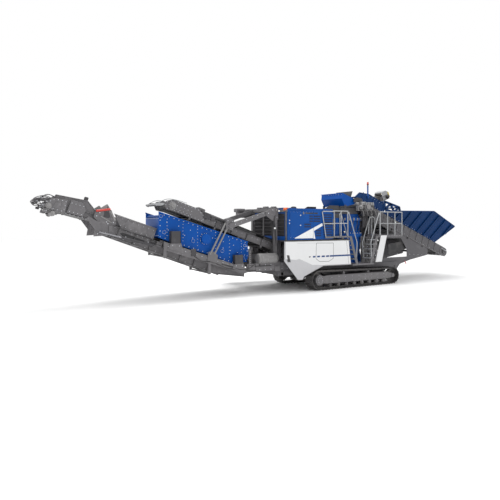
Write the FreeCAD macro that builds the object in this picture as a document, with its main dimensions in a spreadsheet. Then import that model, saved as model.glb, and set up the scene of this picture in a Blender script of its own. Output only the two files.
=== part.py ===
"""A mobile cone crusher with its screening unit: crawler tracks, diesel power pack, belt feeder with hopper,
cone crusher, discharge conveyor, screen box, fines conveyor with a folding head and a swivelling return conveyor.

Frame: +X towards the feed hopper, +Z up, -Y is the side with the stairs and platforms. The origin is on the ground,
midway between the tracks and midway along them. Millimetres and degrees.
"""

import FreeCAD
import Part
import math
import os
import re
import Sketcher
from FreeCAD import Matrix, Placement, Rotation, Vector

# Every driving dimension: alias, value, what it is.
DIMENSIONS = [
    # Crawler tracks
    ("track_centre_y", 1250, "middle of a track from the machine's centre line"),
    ("shoe_width", 500, "width of a track shoe"),
    ("shoe_thick", 22, "shoe plate"),
    ("grouser", 24, "height of the ribs on a shoe"),
    ("chain_thick", 64, "link height inside the shoes"),
    ("chain_width", 170, "width of the link chain"),
    ("shoe_count", 66, "shoes on one track"),
    ("sprocket_x", -2215, "driven end"),
    ("sprocket_out_r", 425, "outer radius of the track round the sprocket"),
    ("idler_x", 2150, "front end"),
    ("idler_out_r", 385, "outer radius of the track round the idler"),
    ("sprocket_teeth", 19, "teeth on the sprocket"),
    ("wheel_gap", 0.5, "running gap between wheels and chain"),
    ("sprocket_width", 90, "toothed rim"),
    ("idler_width", 130, "rim of the idler"),
    ("trackframe_low", 262, "underside of the side beam"),
    ("trackframe_high", 600, "top of the side beam"),
    ("trackframe_half", 205, "half width of the side beam"),
    ("roller_r", 76, "bottom roller"),
    ("roller_count", 8, "bottom rollers on one side"),
    ("final_drive_r", 215, "drum of the final drive"),
    ("final_axle_r", 90, "axle of the sprocket"),
    ("idler_axle_r", 60, "axle of the idler"),
    # Chassis
    ("beam_y", 800, "centre of a main beam from the centre line"),
    ("beam_width", 150, "main beam"),
    ("beam_low", 640, "underside of the main beams"),
    ("beam_high", 950, "top of the main beams"),
    ("chassis_rear_x", -3900, "rear end of the main beams"),
    ("chassis_front_x", 3150, "front end of the main beams"),
    ("cross_rear_x", -1300, "rear cross member"),
    ("cross_front_x", 1750, "front cross member"),
    ("cross_low", 290, "underside of the cross members"),
    ("cross_high", 560, "top of the cross members"),
    ("cross_width", 420, "cross member along the machine"),
    ("deck_z", 2110, "top of the power pack deck"),
    ("deck_thick", 70, "deck plate with its edge frame"),
    ("deck_half_y", 1390, "half width of the deck"),
    ("plate_thick", 30, "thick side plates"),
    # Power pack
    ("housing_rear_x", -3780, "rear face of the engine housing"),
    ("housing_front_x", -1450, "front face of the full-width housing"),
    ("housing_top", 3400, "roof"),
    ("housing_half_y", 1400, "half width of the housing"),
    ("wall", 45, "housing and door thickness"),
    ("seam", 6, "gap round doors and covers"),
    ("door_pin_r", 6, "hinge pin of the door"),
    ("cooler_front_x", -560, "front face of the narrow housing behind the platform"),
    ("cooler_half_y", 900, "half width of the narrow housing"),
    ("cooler_top", 3240, "roof of the narrow housing"),
    ("engine_length", 1500, "diesel engine block"),
    ("engine_width", 900, "diesel engine block"),
    ("engine_height", 950, "diesel engine block"),
    # Cone crusher
    ("crusher_x", 450, "crusher axis"),
    ("crusher_base_r", 700, "lower frame"),
    ("crusher_flange_r", 830, "joint flange between the frames"),
    ("crusher_bowl_r", 790, "upper frame"),
    ("crusher_wall", 60, "casting wall"),
    ("crusher_split_z", 2260, "joint between the lower and the upper frame"),
    ("crusher_top_z", 3230, "rim of the upper frame"),
    ("mantle_shaft_r", 140, "main shaft"),
    ("mantle_low_r", 520, "mantle at its foot"),
    ("mantle_top_r", 240, "mantle at its head"),
    ("mantle_low_z", 2150, "foot of the mantle"),
    ("mantle_top_z", 2820, "head of the mantle"),
    ("crush_gap", 70, "gap between mantle and bowl"),
    ("crusher_ribs", 10, "ribs round the lower frame"),
    # Conveyors in general
    ("belt_thick", 16, "conveyor belt"),
    ("belt_gap", 0.3, "gap between belt and drums or rollers"),
    ("trough", 24, "trough angle in degrees"),
    ("channel_wall", 14, "conveyor side channels"),
    ("channel_flange", 70, "flange of a side channel"),
    ("idler_r", 54, "carrying roller"),
    ("shaft_r", 45, "drum shaft"),
    ("guard_x", -130, "hinge of the splash guard"),
    ("guard_z", 3605, "hinge of the splash guard"),
    ("guard_pin_r", 14, "hinge pin of the splash guard"),
    ("pin_gap", 0.1, "running gap of a pin in its bore"),
    # Feed conveyor
    ("feed_head_x", 950, "head drum"),
    ("feed_head_z", 3560, "head drum"),
    ("feed_slope", 21.3, "slope in degrees, falling towards +X"),
    ("feed_length", 6204, "between drum centres"),
    ("feed_belt_width", 1200, "belt"),
    ("feed_half_y", 790, "outer face of the side channels"),
    ("feed_drum_r", 200, "drums"),
    ("feed_frame_low", -230, "underside of the side channels, across the belt"),
    ("feed_frame_high", 228, "top of the side channels, across the belt"),
    ("skirt_thick", 12, "hopper and skirt plate"),
    ("skirt_high", 700, "top edge of the head skirts, across the belt"),
    ("hopper_start", 1320, "along the belt from the head drum"),
    ("hopper_peak", 3887, "where the top edge turns"),
    ("hopper_tip", 5735, "outer corner"),
    ("hopper_low_end", 5330, "foot of the rear corner"),
    ("hopper_start_high", 340, "height of the wall at its start, across the belt"),
    ("hopper_peak_high", 1344, "height of the wall at its peak"),
    ("hopper_tip_high", 1259, "height of the wall at its tip"),
    ("hopper_flare", 32, "outward tilt of the side walls in degrees"),
    ("hopper_rib_pitch", 560, "ribs on the walls"),
    ("hopper_rib_width", 110, "rib"),
    ("hopper_rib_deep", 55, "rib"),
    ("rear_wall_tilt", 21.4, "outward tilt of the rear wall in degrees"),
    ("rear_hinge_back", 829, "hinge of the rear wall, along the belt from its tail drum"),
    ("rear_hinge_high", 266, "hinge of the rear wall, across the belt"),
    ("rear_pin_r", 14, "hinge pin of the rear wall"),
    # Stairs and platforms
    ("platform_z", 2250, "walking level"),
    ("platform_thick", 60, "platform"),
    ("platform_out_y", 1475, "outer edge"),
    ("platform_in_y", 915, "inner edge"),
    ("platform_a_rear", -1440, "rear platform, along the machine"),
    ("platform_a_front", -560, "rear platform"),
    ("platform_b_rear", 1180, "front platform"),
    ("platform_b_front", 2800, "front platform"),
    ("landing_z", 1010, "step level between the stairs"),
    ("stair_run", 330, "horizontal run of a stair"),
    ("stair_width", 520, "between the stringers"),
    ("stringer", 24, "stringer plate"),
    ("tread_count", 5, "treads on a stair"),
    ("rail_r", 21, "handrail tube"),
    ("rail_height", 1080, "handrail above the platform"),
    # Discharge conveyor
    ("disc_tail_x", 1150, "tail drum"),
    ("disc_bend_x", -430, "where the level part turns up"),
    ("disc_level_z", 600, "belt line of the level part"),
    ("disc_slope", 19.7, "slope in degrees, rising towards -X"),
    ("disc_length", 8400, "from the bend to the head drum"),
    ("disc_belt_width", 950, "belt"),
    ("disc_half_y", 600, "outer face of the side channels"),
    ("disc_drum_r", 140, "drums"),
    ("disc_frame_low", -165, "underside of the channels"),
    ("disc_frame_high", 110, "top of the channels"),
    ("disc_skirt_high", 265, "top of the head plates"),
    # Support gantry and arms
    ("gantry_x", -4050, "posts behind the power pack"),
    ("gantry_post", 130, "post section"),
    ("gantry_half_y", 950, "outer face of the posts"),
    ("gantry_top", 3420, "top of the cross beam"),
    ("arm_foot_x", -6100, "where an arm meets the discharge conveyor"),
    ("arm_deep", 170, "depth of an arm"),
    # Screening unit
    ("screen_slope", 19.3, "slope in degrees, rising towards -X"),
    ("screen_low_x", -5230, "low end of the box"),
    ("screen_high_x", -8900, "high end of the box"),
    ("screen_low_z", 1210, "foot of the low end"),
    ("screen_tall", 920, "vertical height of the side walls"),
    ("screen_half_y", 780, "outer face of the side walls"),
    ("screen_wall", 14, "side wall plate"),
    ("screen_deck_thick", 45, "screen deck"),
    ("subframe_half_y", 960, "outer face of the screen's carrying frame"),
    ("subframe_wall", 85, "width of its beams"),
    ("spring_r", 62, "support spring"),
    ("spring_length", 190, "support spring"),
    # Fines conveyor
    ("fines_tail_slope", 8, "slope of the loading part in degrees"),
    ("fines_tail_length", 1000, "from the tail drum to the bend"),
    ("fines_bend_x", -6430, "bend"),
    ("fines_bend_z", 1050, "bend"),
    ("fines_slope", 20.9, "slope in degrees, rising towards -X"),
    ("fines_length", 4450, "from the bend to the end roller"),
    ("fines_belt_width", 1000, "belt"),
    ("fines_half_y", 660, "outer face of the side channels"),
    ("fines_drum_r", 105, "drums"),
    ("fines_frame_low", -260, "underside of the channels"),
    ("fines_frame_high", 150, "top of the channels"),
    ("fold_x", -10900, "folding axis"),
    ("fold_z", 2800, "folding axis"),
    ("head_slope", 15.5, "slope of the folding head in degrees"),
    ("head_line", 130, "belt line of the head above the folding axis"),
    ("head_start", 190, "lower roller of the head from the folding axis"),
    ("head_length", 1620, "from the folding axis to the head drum"),
    ("head_drum_r", 95, "drums of the head"),
    ("head_half_y", 620, "outer face of the head's channels"),
    ("fold_base_x", -9050, "foot pin of the folding cylinder"),
    ("fold_base_z", 2010, "foot pin of the folding cylinder"),
    ("fold_lever", 300, "lever from the folding axis down to the rod's eye"),
    ("fold_y", 785, "folding cylinder from the centre line"),
    ("fold_pin_r", 24, "pin of the folding axis"),
    ("fold_foot_pin_r", 16, "foot pin of the folding cylinder"),
    ("fold_barrel_r", 42, "barrel"),
    ("fold_rod_r", 22, "rod"),
    # Return conveyor
    ("ret_tail_x", -4600, "tail drum and swivel axis"),
    ("ret_tail_y", 2300, "tail drum and swivel axis"),
    ("ret_tail_z", 930, "tail drum"),
    ("swivel_pin_r", 40, "pin of the swivel"),
    ("ret_slope", 20.4, "slope in degrees, rising towards +X"),
    ("ret_yaw", 8, "turn towards the machine in degrees"),
    ("ret_length", 9500, "between drum centres"),
    ("ret_belt_width", 550, "belt"),
    ("ret_half_y", 360, "outer face of the side channels"),
    ("ret_drum_r", 110, "drums"),
    ("ret_frame_low", -130, "underside of the channels"),
    ("ret_frame_high", 100, "top of the channels"),
    # Cross conveyor from the screen to the return conveyor
    ("cross_belt_x", -4530, "centre line"),
    ("cross_belt_z", 1450, "belt line"),
    ("cross_belt_width", 550, "belt"),
    ("cross_half_x", 360, "outer face of the side channels"),
    ("cross_drum_r", 90, "drums"),
    ("cross_near_y", -760, "near drum"),
    ("cross_far_y", 2230, "far drum"),
]

D = {name: value for name, value, _ in DIMENSIONS}

doc = FreeCAD.newDocument("mobile_cone_crusher")
sheet = doc.addObject("Spreadsheet::Sheet", "dims")
for row, (alias, value, meaning) in enumerate(DIMENSIONS, 1):
    sheet.set(f"A{row}", alias)
    sheet.set(f"B{row}", str(value))
    sheet.setAlias(f"B{row}", alias)
    sheet.set(f"C{row}", meaning)
doc.recompute()

NODES = {}
SIDES = (-1, 1)


def bound(text):
    """The expression with every dimension's name written as a cell of the sheet."""
    return re.sub(r"[a-z]\w+", lambda m: "dims." + m.group(0) if m.group(0) in D else m.group(0), str(text))


def bind(thing, **links):
    """Binds properties to expressions; a double underscore in a property's name stands for a dot."""
    for prop, text in links.items():
        thing.setExpression(prop.replace("__", "."), bound(text))
    return thing


def place(thing, at=(0, 0, 0), turn=None):
    """Binds the placement: at holds three expressions, turn an axis and an angle expression."""
    if turn:
        thing.Placement = Placement(Vector(), Rotation(Vector(*turn[0]), 1))
        thing.setExpression("Placement.Rotation.Angle", bound(turn[1]))
    for letter, text in zip("xyz", at):
        thing.setExpression("Placement.Base." + letter, bound(text))
    return thing


def box(name, low, high, turn=None):
    """A box between two corners given as expressions."""
    made = doc.addObject("Part::Box", name)
    sizes = [f"({b}) - ({a})" for a, b in zip(low, high)]
    bind(made, Length=sizes[0], Width=sizes[1], Height=sizes[2])
    return place(made, low, turn)


AXES = {"X": ((0, 1, 0), 90), "Y": ((1, 0, 0), -90), "Z": None}


def rod(name, radius, length, at, axis="Y"):
    """A cylinder that starts at a point and runs along +X, +Y or +Z."""
    made = doc.addObject("Part::Cylinder", name)
    bind(made, Radius=radius, Height=length)
    return place(made, at, AXES[axis])


def outline(body, name, plane, points, offset=None):
    """A closed sketch through the points, each coordinate bound to its expression."""
    sketch = body.newObject("Sketcher::SketchObject", name)
    sketch.AttachmentSupport = [(next(f for f in body.Origin.OriginFeatures if f.Role == plane), "")]
    sketch.MapMode = "FlatFace"
    if offset is not None:
        sketch.setExpression("AttachmentOffset.Base.z", bound(offset))
    numbers = [tuple(number(value) for value in point) for point in points]
    last = len(points)
    for i, (x, y) in enumerate(numbers):
        x2, y2 = numbers[(i + 1) % last]
        sketch.addGeometry(Part.LineSegment(Vector(x, y, 0), Vector(x2, y2, 0)), False)
    for i in range(last):
        sketch.addConstraint(Sketcher.Constraint("Coincident", i, 2, (i + 1) % last, 1))
    for i, point in enumerate(points):
        for kind, text in zip(("DistanceX", "DistanceY"), point):
            at = sketch.addConstraint(Sketcher.Constraint(kind, i, 1, number(text)))
            if re.search("[a-z]", str(text)):
                sketch.setExpression(f"Constraints[{at}]", bound(text))
    return sketch


probe = doc.addObject("Spreadsheet::Sheet", "probe")


def number(text):
    """The value of an expression, worked out by a spare sheet."""
    if not isinstance(text, str):
        return float(text)
    probe.set("A1", "=" + bound(text))
    probe.recompute()
    value = probe.get("A1")
    return float(getattr(value, "Value", value))


def slab(name, points, low, high, plane="XZ_Plane"):
    """A padded outline. On the XZ plane it fills Y from low to high, on XY Z, on YZ X."""
    body = doc.addObject("PartDesign::Body", name)
    start = f"-({high})" if plane == "XZ_Plane" else low
    sketch = outline(body, name + "_outline", plane, points, start)
    pad = body.newObject("PartDesign::Pad", name + "_pad")
    pad.Profile = sketch
    pad.setExpression("Length", bound(f"({high}) - ({low})"))
    body.Tip = pad
    return body


def turned(name, points, at=(0, 0, 0)):
    """A profile of radius and height, turned round a vertical axis."""
    body = doc.addObject("PartDesign::Body", name)
    sketch = outline(body, name + "_profile", "XZ_Plane", points)
    spin = body.newObject("PartDesign::Revolution", name + "_turn")
    spin.Profile = sketch
    spin.ReferenceAxis = (sketch, ["V_Axis"])
    spin.Angle = 360
    body.Tip = spin
    return place(body, at)


def fuse(name, pieces, at=None, turn=None):
    made = doc.addObject("Part::MultiFuse", name)
    made.Shapes = pieces
    return place(made, at or (0, 0, 0), turn) if at or turn else made


def group(name, pieces, at=None, turn=None):
    """Solids that don't touch, kept in one node."""
    made = doc.addObject("Part::Compound", name)
    made.Links = pieces
    return place(made, at or (0, 0, 0), turn) if at or turn else made


def cut(name, base, tool):
    made = doc.addObject("Part::Cut", name)
    made.Base = base
    made.Tool = tool
    return made


def mirrored(thing, name=None):
    """The same piece on the other side of the centre line."""
    made = doc.addObject("Part::Mirroring", name or thing.Name + "_other")
    made.Source = thing
    made.Normal = Vector(0, 1, 0)
    return made


def both(thing):
    return [thing, mirrored(thing)]


def shaped(name, shape, at=None, turn=None):
    """A piece whose shape is worked out here from the sheet's numbers."""
    made = doc.addObject("Part::Feature", name)
    made.Shape = shape
    return place(made, at or (0, 0, 0), turn) if at or turn else made


def node(name, thing):
    """Marks a finished piece: its label names its file."""
    thing.Label = name
    NODES[name] = thing
    return thing


def solid_from(faces_points):
    """A solid closed by flat faces, each given as its corner points."""
    faces = [Part.Face(Part.makePolygon([*corners, corners[0]])) for corners in faces_points]
    return Part.Solid(Part.Shell(faces))


def quad(a, b, c, d):
    """One flat face, or two triangles when the corners don't lie in a plane."""
    normal = (b - a).cross(c - a)
    if normal.Length < 1e-9 or abs(normal.normalize().dot(d - a)) < 1e-6:
        return [[a, b, c, d]]
    return [[a, b, c], [a, c, d]]


def loop_solid(sections):
    """A closed ring through sections with the same number of points."""
    faces = []
    for one, two in zip(sections, sections[1:] + sections[:1]):
        count = len(one)
        for i in range(count):
            j = (i + 1) % count
            faces += quad(one[i], one[j], two[j], two[i])
    return solid_from(faces)


WRAP_STEPS = 8
SLIVER = 1e6


def belt_shape(points, radius, width, trough=None):
    """A belt that runs round a drum at the first and the last point, troughed on its upper run.
    The points are the belt line in the XZ plane, from the tail at the largest X to the head."""
    t = D["belt_thick"]
    half_step = math.pi / WRAP_STEPS / 2
    lay = radius + D["belt_gap"]
    corner = lay / math.cos(half_step)
    line = [Vector(x, 0, z) for x, z in points]
    ease = 500
    path = []

    def up(a, b):
        d = (b - a).normalize()
        return Vector(0, 1, 0).cross(d) * (1 if Vector(0, 1, 0).cross(d).z > 0 else -1)

    def side(sign, spots):
        """Places along one run: where it is, its outward normal and how deep it is troughed."""
        out = []
        for where, normal, lift in spots:
            out.append((where + normal * (sign * lay), normal * sign, lift))
        return out

    upper = []
    for i in range(1, len(line) - 1):
        n1, n2 = up(line[i - 1], line[i]), up(line[i], line[i + 1])
        middle = (n1 + n2).normalize()
        upper.append((line[i], middle * (1 / middle.dot(n1)), 1))
    first, last = up(line[0], line[1]), up(line[-2], line[-1])
    tail_in = line[0] + (line[1] - line[0]).normalize() * ease
    head_in = line[-1] + (line[-2] - line[-1]).normalize() * ease
    carrying = [(tail_in, first, 1)] + upper + [(head_in, last, 1)]
    path += side(1, carrying)
    turns = [(0, lay)] + [((k + 0.5) * 180 / WRAP_STEPS, corner) for k in range(WRAP_STEPS)] + [(180, lay)]
    for drum, start in ((line[-1], last), (line[0], -first)):
        for degrees, reach in turns:
            normal = Rotation(Vector(0, 1, 0), -degrees).multVec(start)
            path.append((drum + normal * reach, normal, 0))
        if drum is line[-1]:
            path += side(-1, [(w, n, 0) for w, n, _ in reversed(upper)])
    angle = math.radians(D["trough"] if trough is None else trough)
    knee = 0.2 * width
    wing = 0.3 * width
    sections = []
    for where, normal, lift in path:
        y = knee + wing * (math.cos(angle) if lift else 1)
        rise = wing * math.sin(angle) * lift
        row = [(-y, rise), (-knee, 0), (knee, 0), (y, rise), (y, rise + t), (knee, t), (-knee, t), (-y, rise + t)]
        sections.append([where + normal * v + Vector(0, a, 0) for a, v in row])
    return loop_solid(sections)


def channel_pair(name, start, slope, low, high, half_y, length, begin=0, outward=True):
    """Two side channels along a straight run that falls towards +X from its start."""
    flange = "channel_flange" if outward else "(channel_wall+1)"
    web = f"-(({half_y})-({flange}))"
    edge = f"-({half_y})" if outward else f"-(({half_y})-channel_flange)"
    back = f"-(({half_y})-({flange}))+channel_wall" if outward else web
    if outward:
        points = [(back, low), (edge, low), (edge, f"({low})+channel_wall"), (web, f"({low})+channel_wall"),
                  (web, f"({high})-channel_wall"), (edge, f"({high})-channel_wall"), (edge, high), (back, high)]
    else:
        outer = f"-({half_y})"
        inner = f"-({half_y})+channel_wall"
        points = [(outer, low), (edge, low), (edge, f"({low})+channel_wall"), (inner, f"({low})+channel_wall"),
                  (inner, f"({high})-channel_wall"), (edge, f"({high})-channel_wall"), (edge, high), (outer, high)]
    near = slab(name, points, begin, f"({begin})+({length})", "YZ_Plane")
    return group(name + "_pair", both(near), start, ((0, 1, 0), slope))


def on_run(start, slope, along, across):
    """A point on a falling run as two expressions."""
    x, z = start
    return (f"({x})+({along})*cos({slope})+({across})*sin({slope})",
            f"({z})-({along})*sin({slope})+({across})*cos({slope})")


def rollers(name, start, slope, first, last, count, across, radius, half_y):
    """Straight rollers or cross bars that reach from one channel to the other."""
    made = []
    for i in range(count):
        along = f"({first})+({last}-({first}))*{i}/{max(count - 1, 1)}"
        x, z = on_run(start, slope, along, across)
        made.append(rod(f"{name}_{i}", radius, f"2*({half_y})", (x, f"-({half_y})", z)))
    return made


def tube(points, radius, sides=8):
    """A bent tube of straight parts with mitred corners, as one solid."""
    spots = [Vector(*p) for p in points]
    rows = []
    base = None
    for i, spot in enumerate(spots):
        before = (spot - spots[i - 1]).normalize() if i else None
        after = (spots[i + 1] - spot).normalize() if i + 1 < len(spots) else None
        if before is None:
            guess = Vector(0, 0, 1) if abs(after.z) < 0.9 else Vector(1, 0, 0)
            side = after.cross(guess).normalize()
            base = [(side * math.cos(a) + after.cross(side) * math.sin(a)) * radius
                    for a in (2 * math.pi * k / sides for k in range(sides))]
            rows.append([spot + b for b in base])
            continue
        normal = before if after is None else (before + after).normalize()
        row = []
        for point in rows[-1]:
            reach = (spot - point).dot(normal) / before.dot(normal)
            row.append(point + before * reach)
        rows.append(row)
    faces = [rows[0], rows[-1]]
    for one, two in zip(rows, rows[1:]):
        for i in range(sides):
            j = (i + 1) % sides
            faces += quad(one[i], one[j], two[j], two[i])
    return solid_from(faces)


def one_of(shapes):
    """Fuses shapes into one."""
    return shapes[0].multiFuse(shapes[1:]).removeSplitter() if len(shapes) > 1 else shapes[0]


# Crawler tracks

def track_path():
    """Corner points of the shoes on the outer line of the track, one for each shoe."""
    xs, rs = D["sprocket_x"], D["sprocket_out_r"]
    xi, ri = D["idler_x"], D["idler_out_r"]
    cs, ci = Vector(xs, 0, rs), Vector(xi, 0, ri)
    gap = ci - cs
    tilt = math.atan2(gap.z, gap.x) + math.asin((rs - ri) / gap.Length) * -1
    lean = math.atan2(-gap.z, gap.x) + math.asin((rs - ri) / gap.Length)
    top_n = Vector(math.sin(lean), 0, math.cos(lean))
    run = math.sqrt(gap.Length ** 2 - (rs - ri) ** 2)
    arc_i = ri * (math.pi - lean)
    arc_s = rs * (math.pi + lean)
    total = 2 * run + arc_i + arc_s
    pitch = total / D["shoe_count"]

    def at(s):
        s %= total
        if s < run:
            return Vector(xs + s, 0, 0)
        s -= run
        if s < arc_i:
            a = s / ri
            return ci + Vector(math.sin(a), 0, -math.cos(a)) * ri
        s -= arc_i
        if s < run:
            start = ci + top_n * ri
            return start + (cs + top_n * rs - start).normalize() * s
        s -= run
        a = math.pi - lean + s / rs
        return cs + Vector(math.sin(a), 0, -math.cos(a)) * rs

    return [at(i * pitch) for i in range(D["shoe_count"])]


def ring(outer, inner, half, y):
    """A ring between two outlines in the XZ plane."""
    rim = Part.Face(Part.makePolygon([*outer, outer[0]]))
    hole = Part.Face(Part.makePolygon([*inner, inner[0]]))
    face = rim.cut(hole)
    face.translate(Vector(0, y - half, 0))
    return face.extrude(Vector(0, 2 * half, 0))


def inward(points, depth):
    """The outline moved inwards, corner by corner."""
    moved = []
    for i, p in enumerate(points):
        a = (p - points[i - 1]).normalize()
        b = (points[(i + 1) % len(points)] - p).normalize()
        na, nb = Vector(-a.z, 0, a.x), Vector(-b.z, 0, b.x)
        n = (na + nb).normalize()
        moved.append(p + n * (depth / n.dot(na)))
    return moved


def track(y):
    """Shoes with their ribs and the chain inside them, one closed loop."""
    corners = track_path()
    g, t = D["grouser"], D["shoe_thick"]
    outer = []
    for i, p in enumerate(corners):
        q = corners[(i + 1) % len(corners)]
        d = (q - p).normalize()
        n = Vector(-d.z, 0, d.x)
        step = (q - p).Length
        for along, depth in ((0.02, 0), (0.11, 0), (0.16, g), (0.90, g), (0.94, g + 0.8 * t)):
            outer.append(p + d * (along * step) + n * depth)
    plate = ring(outer, inward(corners, g + t), D["shoe_width"] / 2, y)
    chain = ring(inward(corners, g + t - 1), inward(corners, g + t + D["chain_thick"]), D["chain_width"] / 2, y)
    return plate.fuse(chain)


def toothed_wheel(x, radius, half, teeth, y):
    """A wheel with teeth, or a plain one."""
    if not teeth:
        return Part.makeCylinder(radius, 2 * half, Vector(x, y - half, radius), Vector(0, 1, 0))
    points = []
    for i in range(teeth):
        for part, r in ((-0.3, 0.9), (-0.12, 1), (0.12, 1), (0.3, 0.9)):
            a = 2 * math.pi * (i + part) / teeth
            points.append(Vector(math.cos(a) * r * radius, y - half, math.sin(a) * r * radius))
    return Part.Face(Part.makePolygon([*points, points[0]])).extrude(Vector(0, 2 * half, 0))


def wheel_radius(outer):
    step = math.pi * (D["sprocket_out_r"] + D["idler_out_r"]) + 2 * (D["idler_x"] - D["sprocket_x"])
    half_angle = step / D["shoe_count"] / 2 / outer
    inside = D["grouser"] + D["shoe_thick"] + D["chain_thick"]
    return outer * math.cos(half_angle) - inside - D["wheel_gap"] - 1


sprockets = []
idlers = []
def axle_hole(radius, y):
    return Part.makeCylinder(radius + D["belt_gap"], 400, Vector(0, y - 200, 0), Vector(0, 1, 0))


for sign, side_name in ((-1, "right"), (1, "left")):
    y = sign * D["track_centre_y"]
    node(f"track_{side_name}", shaped(f"track_{side_name}", track(y)))
    r = wheel_radius(D["sprocket_out_r"])
    wheel = toothed_wheel(0, r, D["sprocket_width"] / 2, D["sprocket_teeth"], y)
    sprockets.append(wheel.cut(axle_hole(D["final_axle_r"], y)))
    r = wheel_radius(D["idler_out_r"])
    wheel = Part.makeCylinder(r, D["idler_width"], Vector(0, y - D["idler_width"] / 2, 0), Vector(0, 1, 0))
    rim = Part.makeCylinder(r - 60, D["idler_width"] / 2 - 20, Vector(0, y - D["idler_width"] / 2, 0), Vector(0, 1, 0))
    wheel = wheel.cut(rim)
    rim.translate(Vector(0, D["idler_width"] / 2 + 20, 0))
    idlers.append(wheel.cut(rim).cut(axle_hole(D["idler_axle_r"], y)))
node("sprockets", shaped("sprocket_pair", Part.Compound(sprockets), ("sprocket_x", 0, "sprocket_out_r")))
node("idler_wheels", shaped("idler_pair", Part.Compound(idlers), ("idler_x", 0, "idler_out_r")))

roller_z = "grouser+shoe_thick+chain_thick+roller_r+belt_gap"
beam = slab("track_beam", [("sprocket_x+380", "trackframe_low"), ("idler_x-330", "trackframe_low"),
                           ("idler_x-330", "trackframe_high-25"), ("sprocket_x+380", "trackframe_high")],
            "-trackframe_half", "trackframe_half")
fork = slab("track_fork", [("sprocket_x-120", "sprocket_out_r-130"), ("sprocket_x+500", "trackframe_low"),
                           ("idler_x-450", "trackframe_low"), ("idler_x+70", "idler_out_r-70"),
                           ("idler_x+70", "idler_out_r+70"), ("idler_x-450", "trackframe_high-25"),
                           ("sprocket_x+500", "trackframe_high"), ("sprocket_x-120", "sprocket_out_r+130")],
            "-trackframe_half", "-trackframe_half+35")
parts = [beam] + both(fork)
for i in range(D["roller_count"]):
    x = f"sprocket_x+620+(idler_x-sprocket_x-1150)*{i}/(roller_count-1)"
    parts.append(rod(f"track_roller_{i}", "roller_r", "2*trackframe_half-60", (x, "-trackframe_half+30", roller_z)))
for i in range(2):
    x = f"sprocket_x+(idler_x-sprocket_x)*{i + 1}/3"
    top = (f"sprocket_out_r*2-(sprocket_out_r-idler_out_r)*2*{i + 1}/3-grouser-shoe_thick-chain_thick-70-4")
    parts.append(rod(f"top_roller_{i}", 70, 200, (x, -100, top)))
parts.append(rod("final_drive", "final_drive_r", "trackframe_half-sprocket_width/2-10+40",
                 ("sprocket_x", "-trackframe_half-40", "sprocket_out_r")))
parts.append(rod("final_axle", "final_axle_r", "2*trackframe_half", ("sprocket_x", "-trackframe_half", "sprocket_out_r")))
parts.append(rod("idler_axle", "idler_axle_r", "2*trackframe_half", ("idler_x", "-trackframe_half", "idler_out_r")))
near_frame = fuse("track_frame_whole", parts)
node("track_frames", group("track_frame_pair", both(group("track_frame_near", [near_frame], (0, "-track_centre_y", 0)))))

# Chassis


def feed_z(x, across):
    return f"feed_head_z-(({x})-feed_head_x)*tan(feed_slope)+({across})/cos(feed_slope)"


side = [box("main_beam", ("chassis_rear_x", "-beam_y-beam_width/2", "beam_low"),
            ("chassis_front_x", "-beam_y+beam_width/2", "beam_high"))]
ties = []
for key in ("rear", "front"):
    ties.append(box(f"cross_{key}", (f"cross_{key}_x-cross_width/2", "-track_centre_y+trackframe_half", "cross_low"),
                    (f"cross_{key}_x+cross_width/2", "track_centre_y-trackframe_half", "cross_high")))
    side.append(box(f"riser_{key}", (f"cross_{key}_x-cross_width/2+40", "-beam_y-beam_width/2", "cross_high"),
                    (f"cross_{key}_x+cross_width/2-40", "-beam_y+beam_width/2", "beam_low+2")))
for i, x in enumerate(("chassis_rear_x", "chassis_front_x-140")):
    ties.append(box(f"beam_tie_{i}", (x, "-beam_y+beam_width/2", "beam_low+20"), (f"{x}+140", "beam_y-beam_width/2", "beam_high-120")))
for i, x in enumerate(("chassis_rear_x+20", -2500, "cooler_front_x-150")):
    side.append(box(f"deck_post_{i}", (x, "-beam_y-60", "beam_high-2"), (f"{x}+140", "-beam_y+60", "deck_z-deck_thick")))
feed_side = slab("feed_side", [(1300, 660), (3160, 580), (3380, 800), (4130, 980), (5360, 1170), (5450, 1200),
                               (5450, feed_z(5450, "feed_frame_low")), (1300, feed_z(1300, "feed_frame_low"))],
                 "-beam_y", "-beam_y+plate_thick")
hole = slab("feed_side_hole", [(1520, 1150), (3900, 1150), (3900, 1500), (3450, 2080), (1520, 2080)], "-beam_y-200", "-beam_y+200")
top_hole = slab("feed_side_top_hole", [(1520, 2300), (3000, 2300), (2850, feed_z(2850, "feed_frame_low-150")),
                                       (1520, feed_z(1520, "feed_frame_low-150"))], "-beam_y-200", "-beam_y+200")
side.append(cut("feed_side_open", cut("feed_side_low", feed_side, hole), top_hole))
for i, (x, z) in enumerate(((3230, 700), (5300, 1330), (1420, 2200))):
    ties.append(rod(f"side_tie_{i}", 55, "2*(beam_y-plate_thick)", (x, "-(beam_y-plate_thick)", z)))
eyes = group("lashing_eyes", [rod(f"eye_{i}", 35, 400, (x, "-beam_y-200", 720)) for i, x in enumerate((-3700, 2900))])
near_side = cut("chassis_side_near", fuse("chassis_side_whole", side), eyes)
node("chassis_frame", group("chassis_sides", both(near_side)))
node("cross_members", group("cross_member_set", ties))

deck = box("power_deck_plate", ("chassis_rear_x+20", "-deck_half_y", "deck_z-deck_thick"),
           ("cooler_front_x-10", "deck_half_y", "deck_z"))
window = box("deck_window", (-2700, -560, "deck_z-deck_thick-10"), ("cooler_front_x-100", 560, "deck_z+10"))
notch = box("deck_notch", ("chassis_rear_x-10", -540, "deck_z-deck_thick-10"), (-3590, 540, "deck_z+10"))
node("power_deck", cut("power_deck_open", deck, group("deck_windows", [window, notch])))

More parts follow.
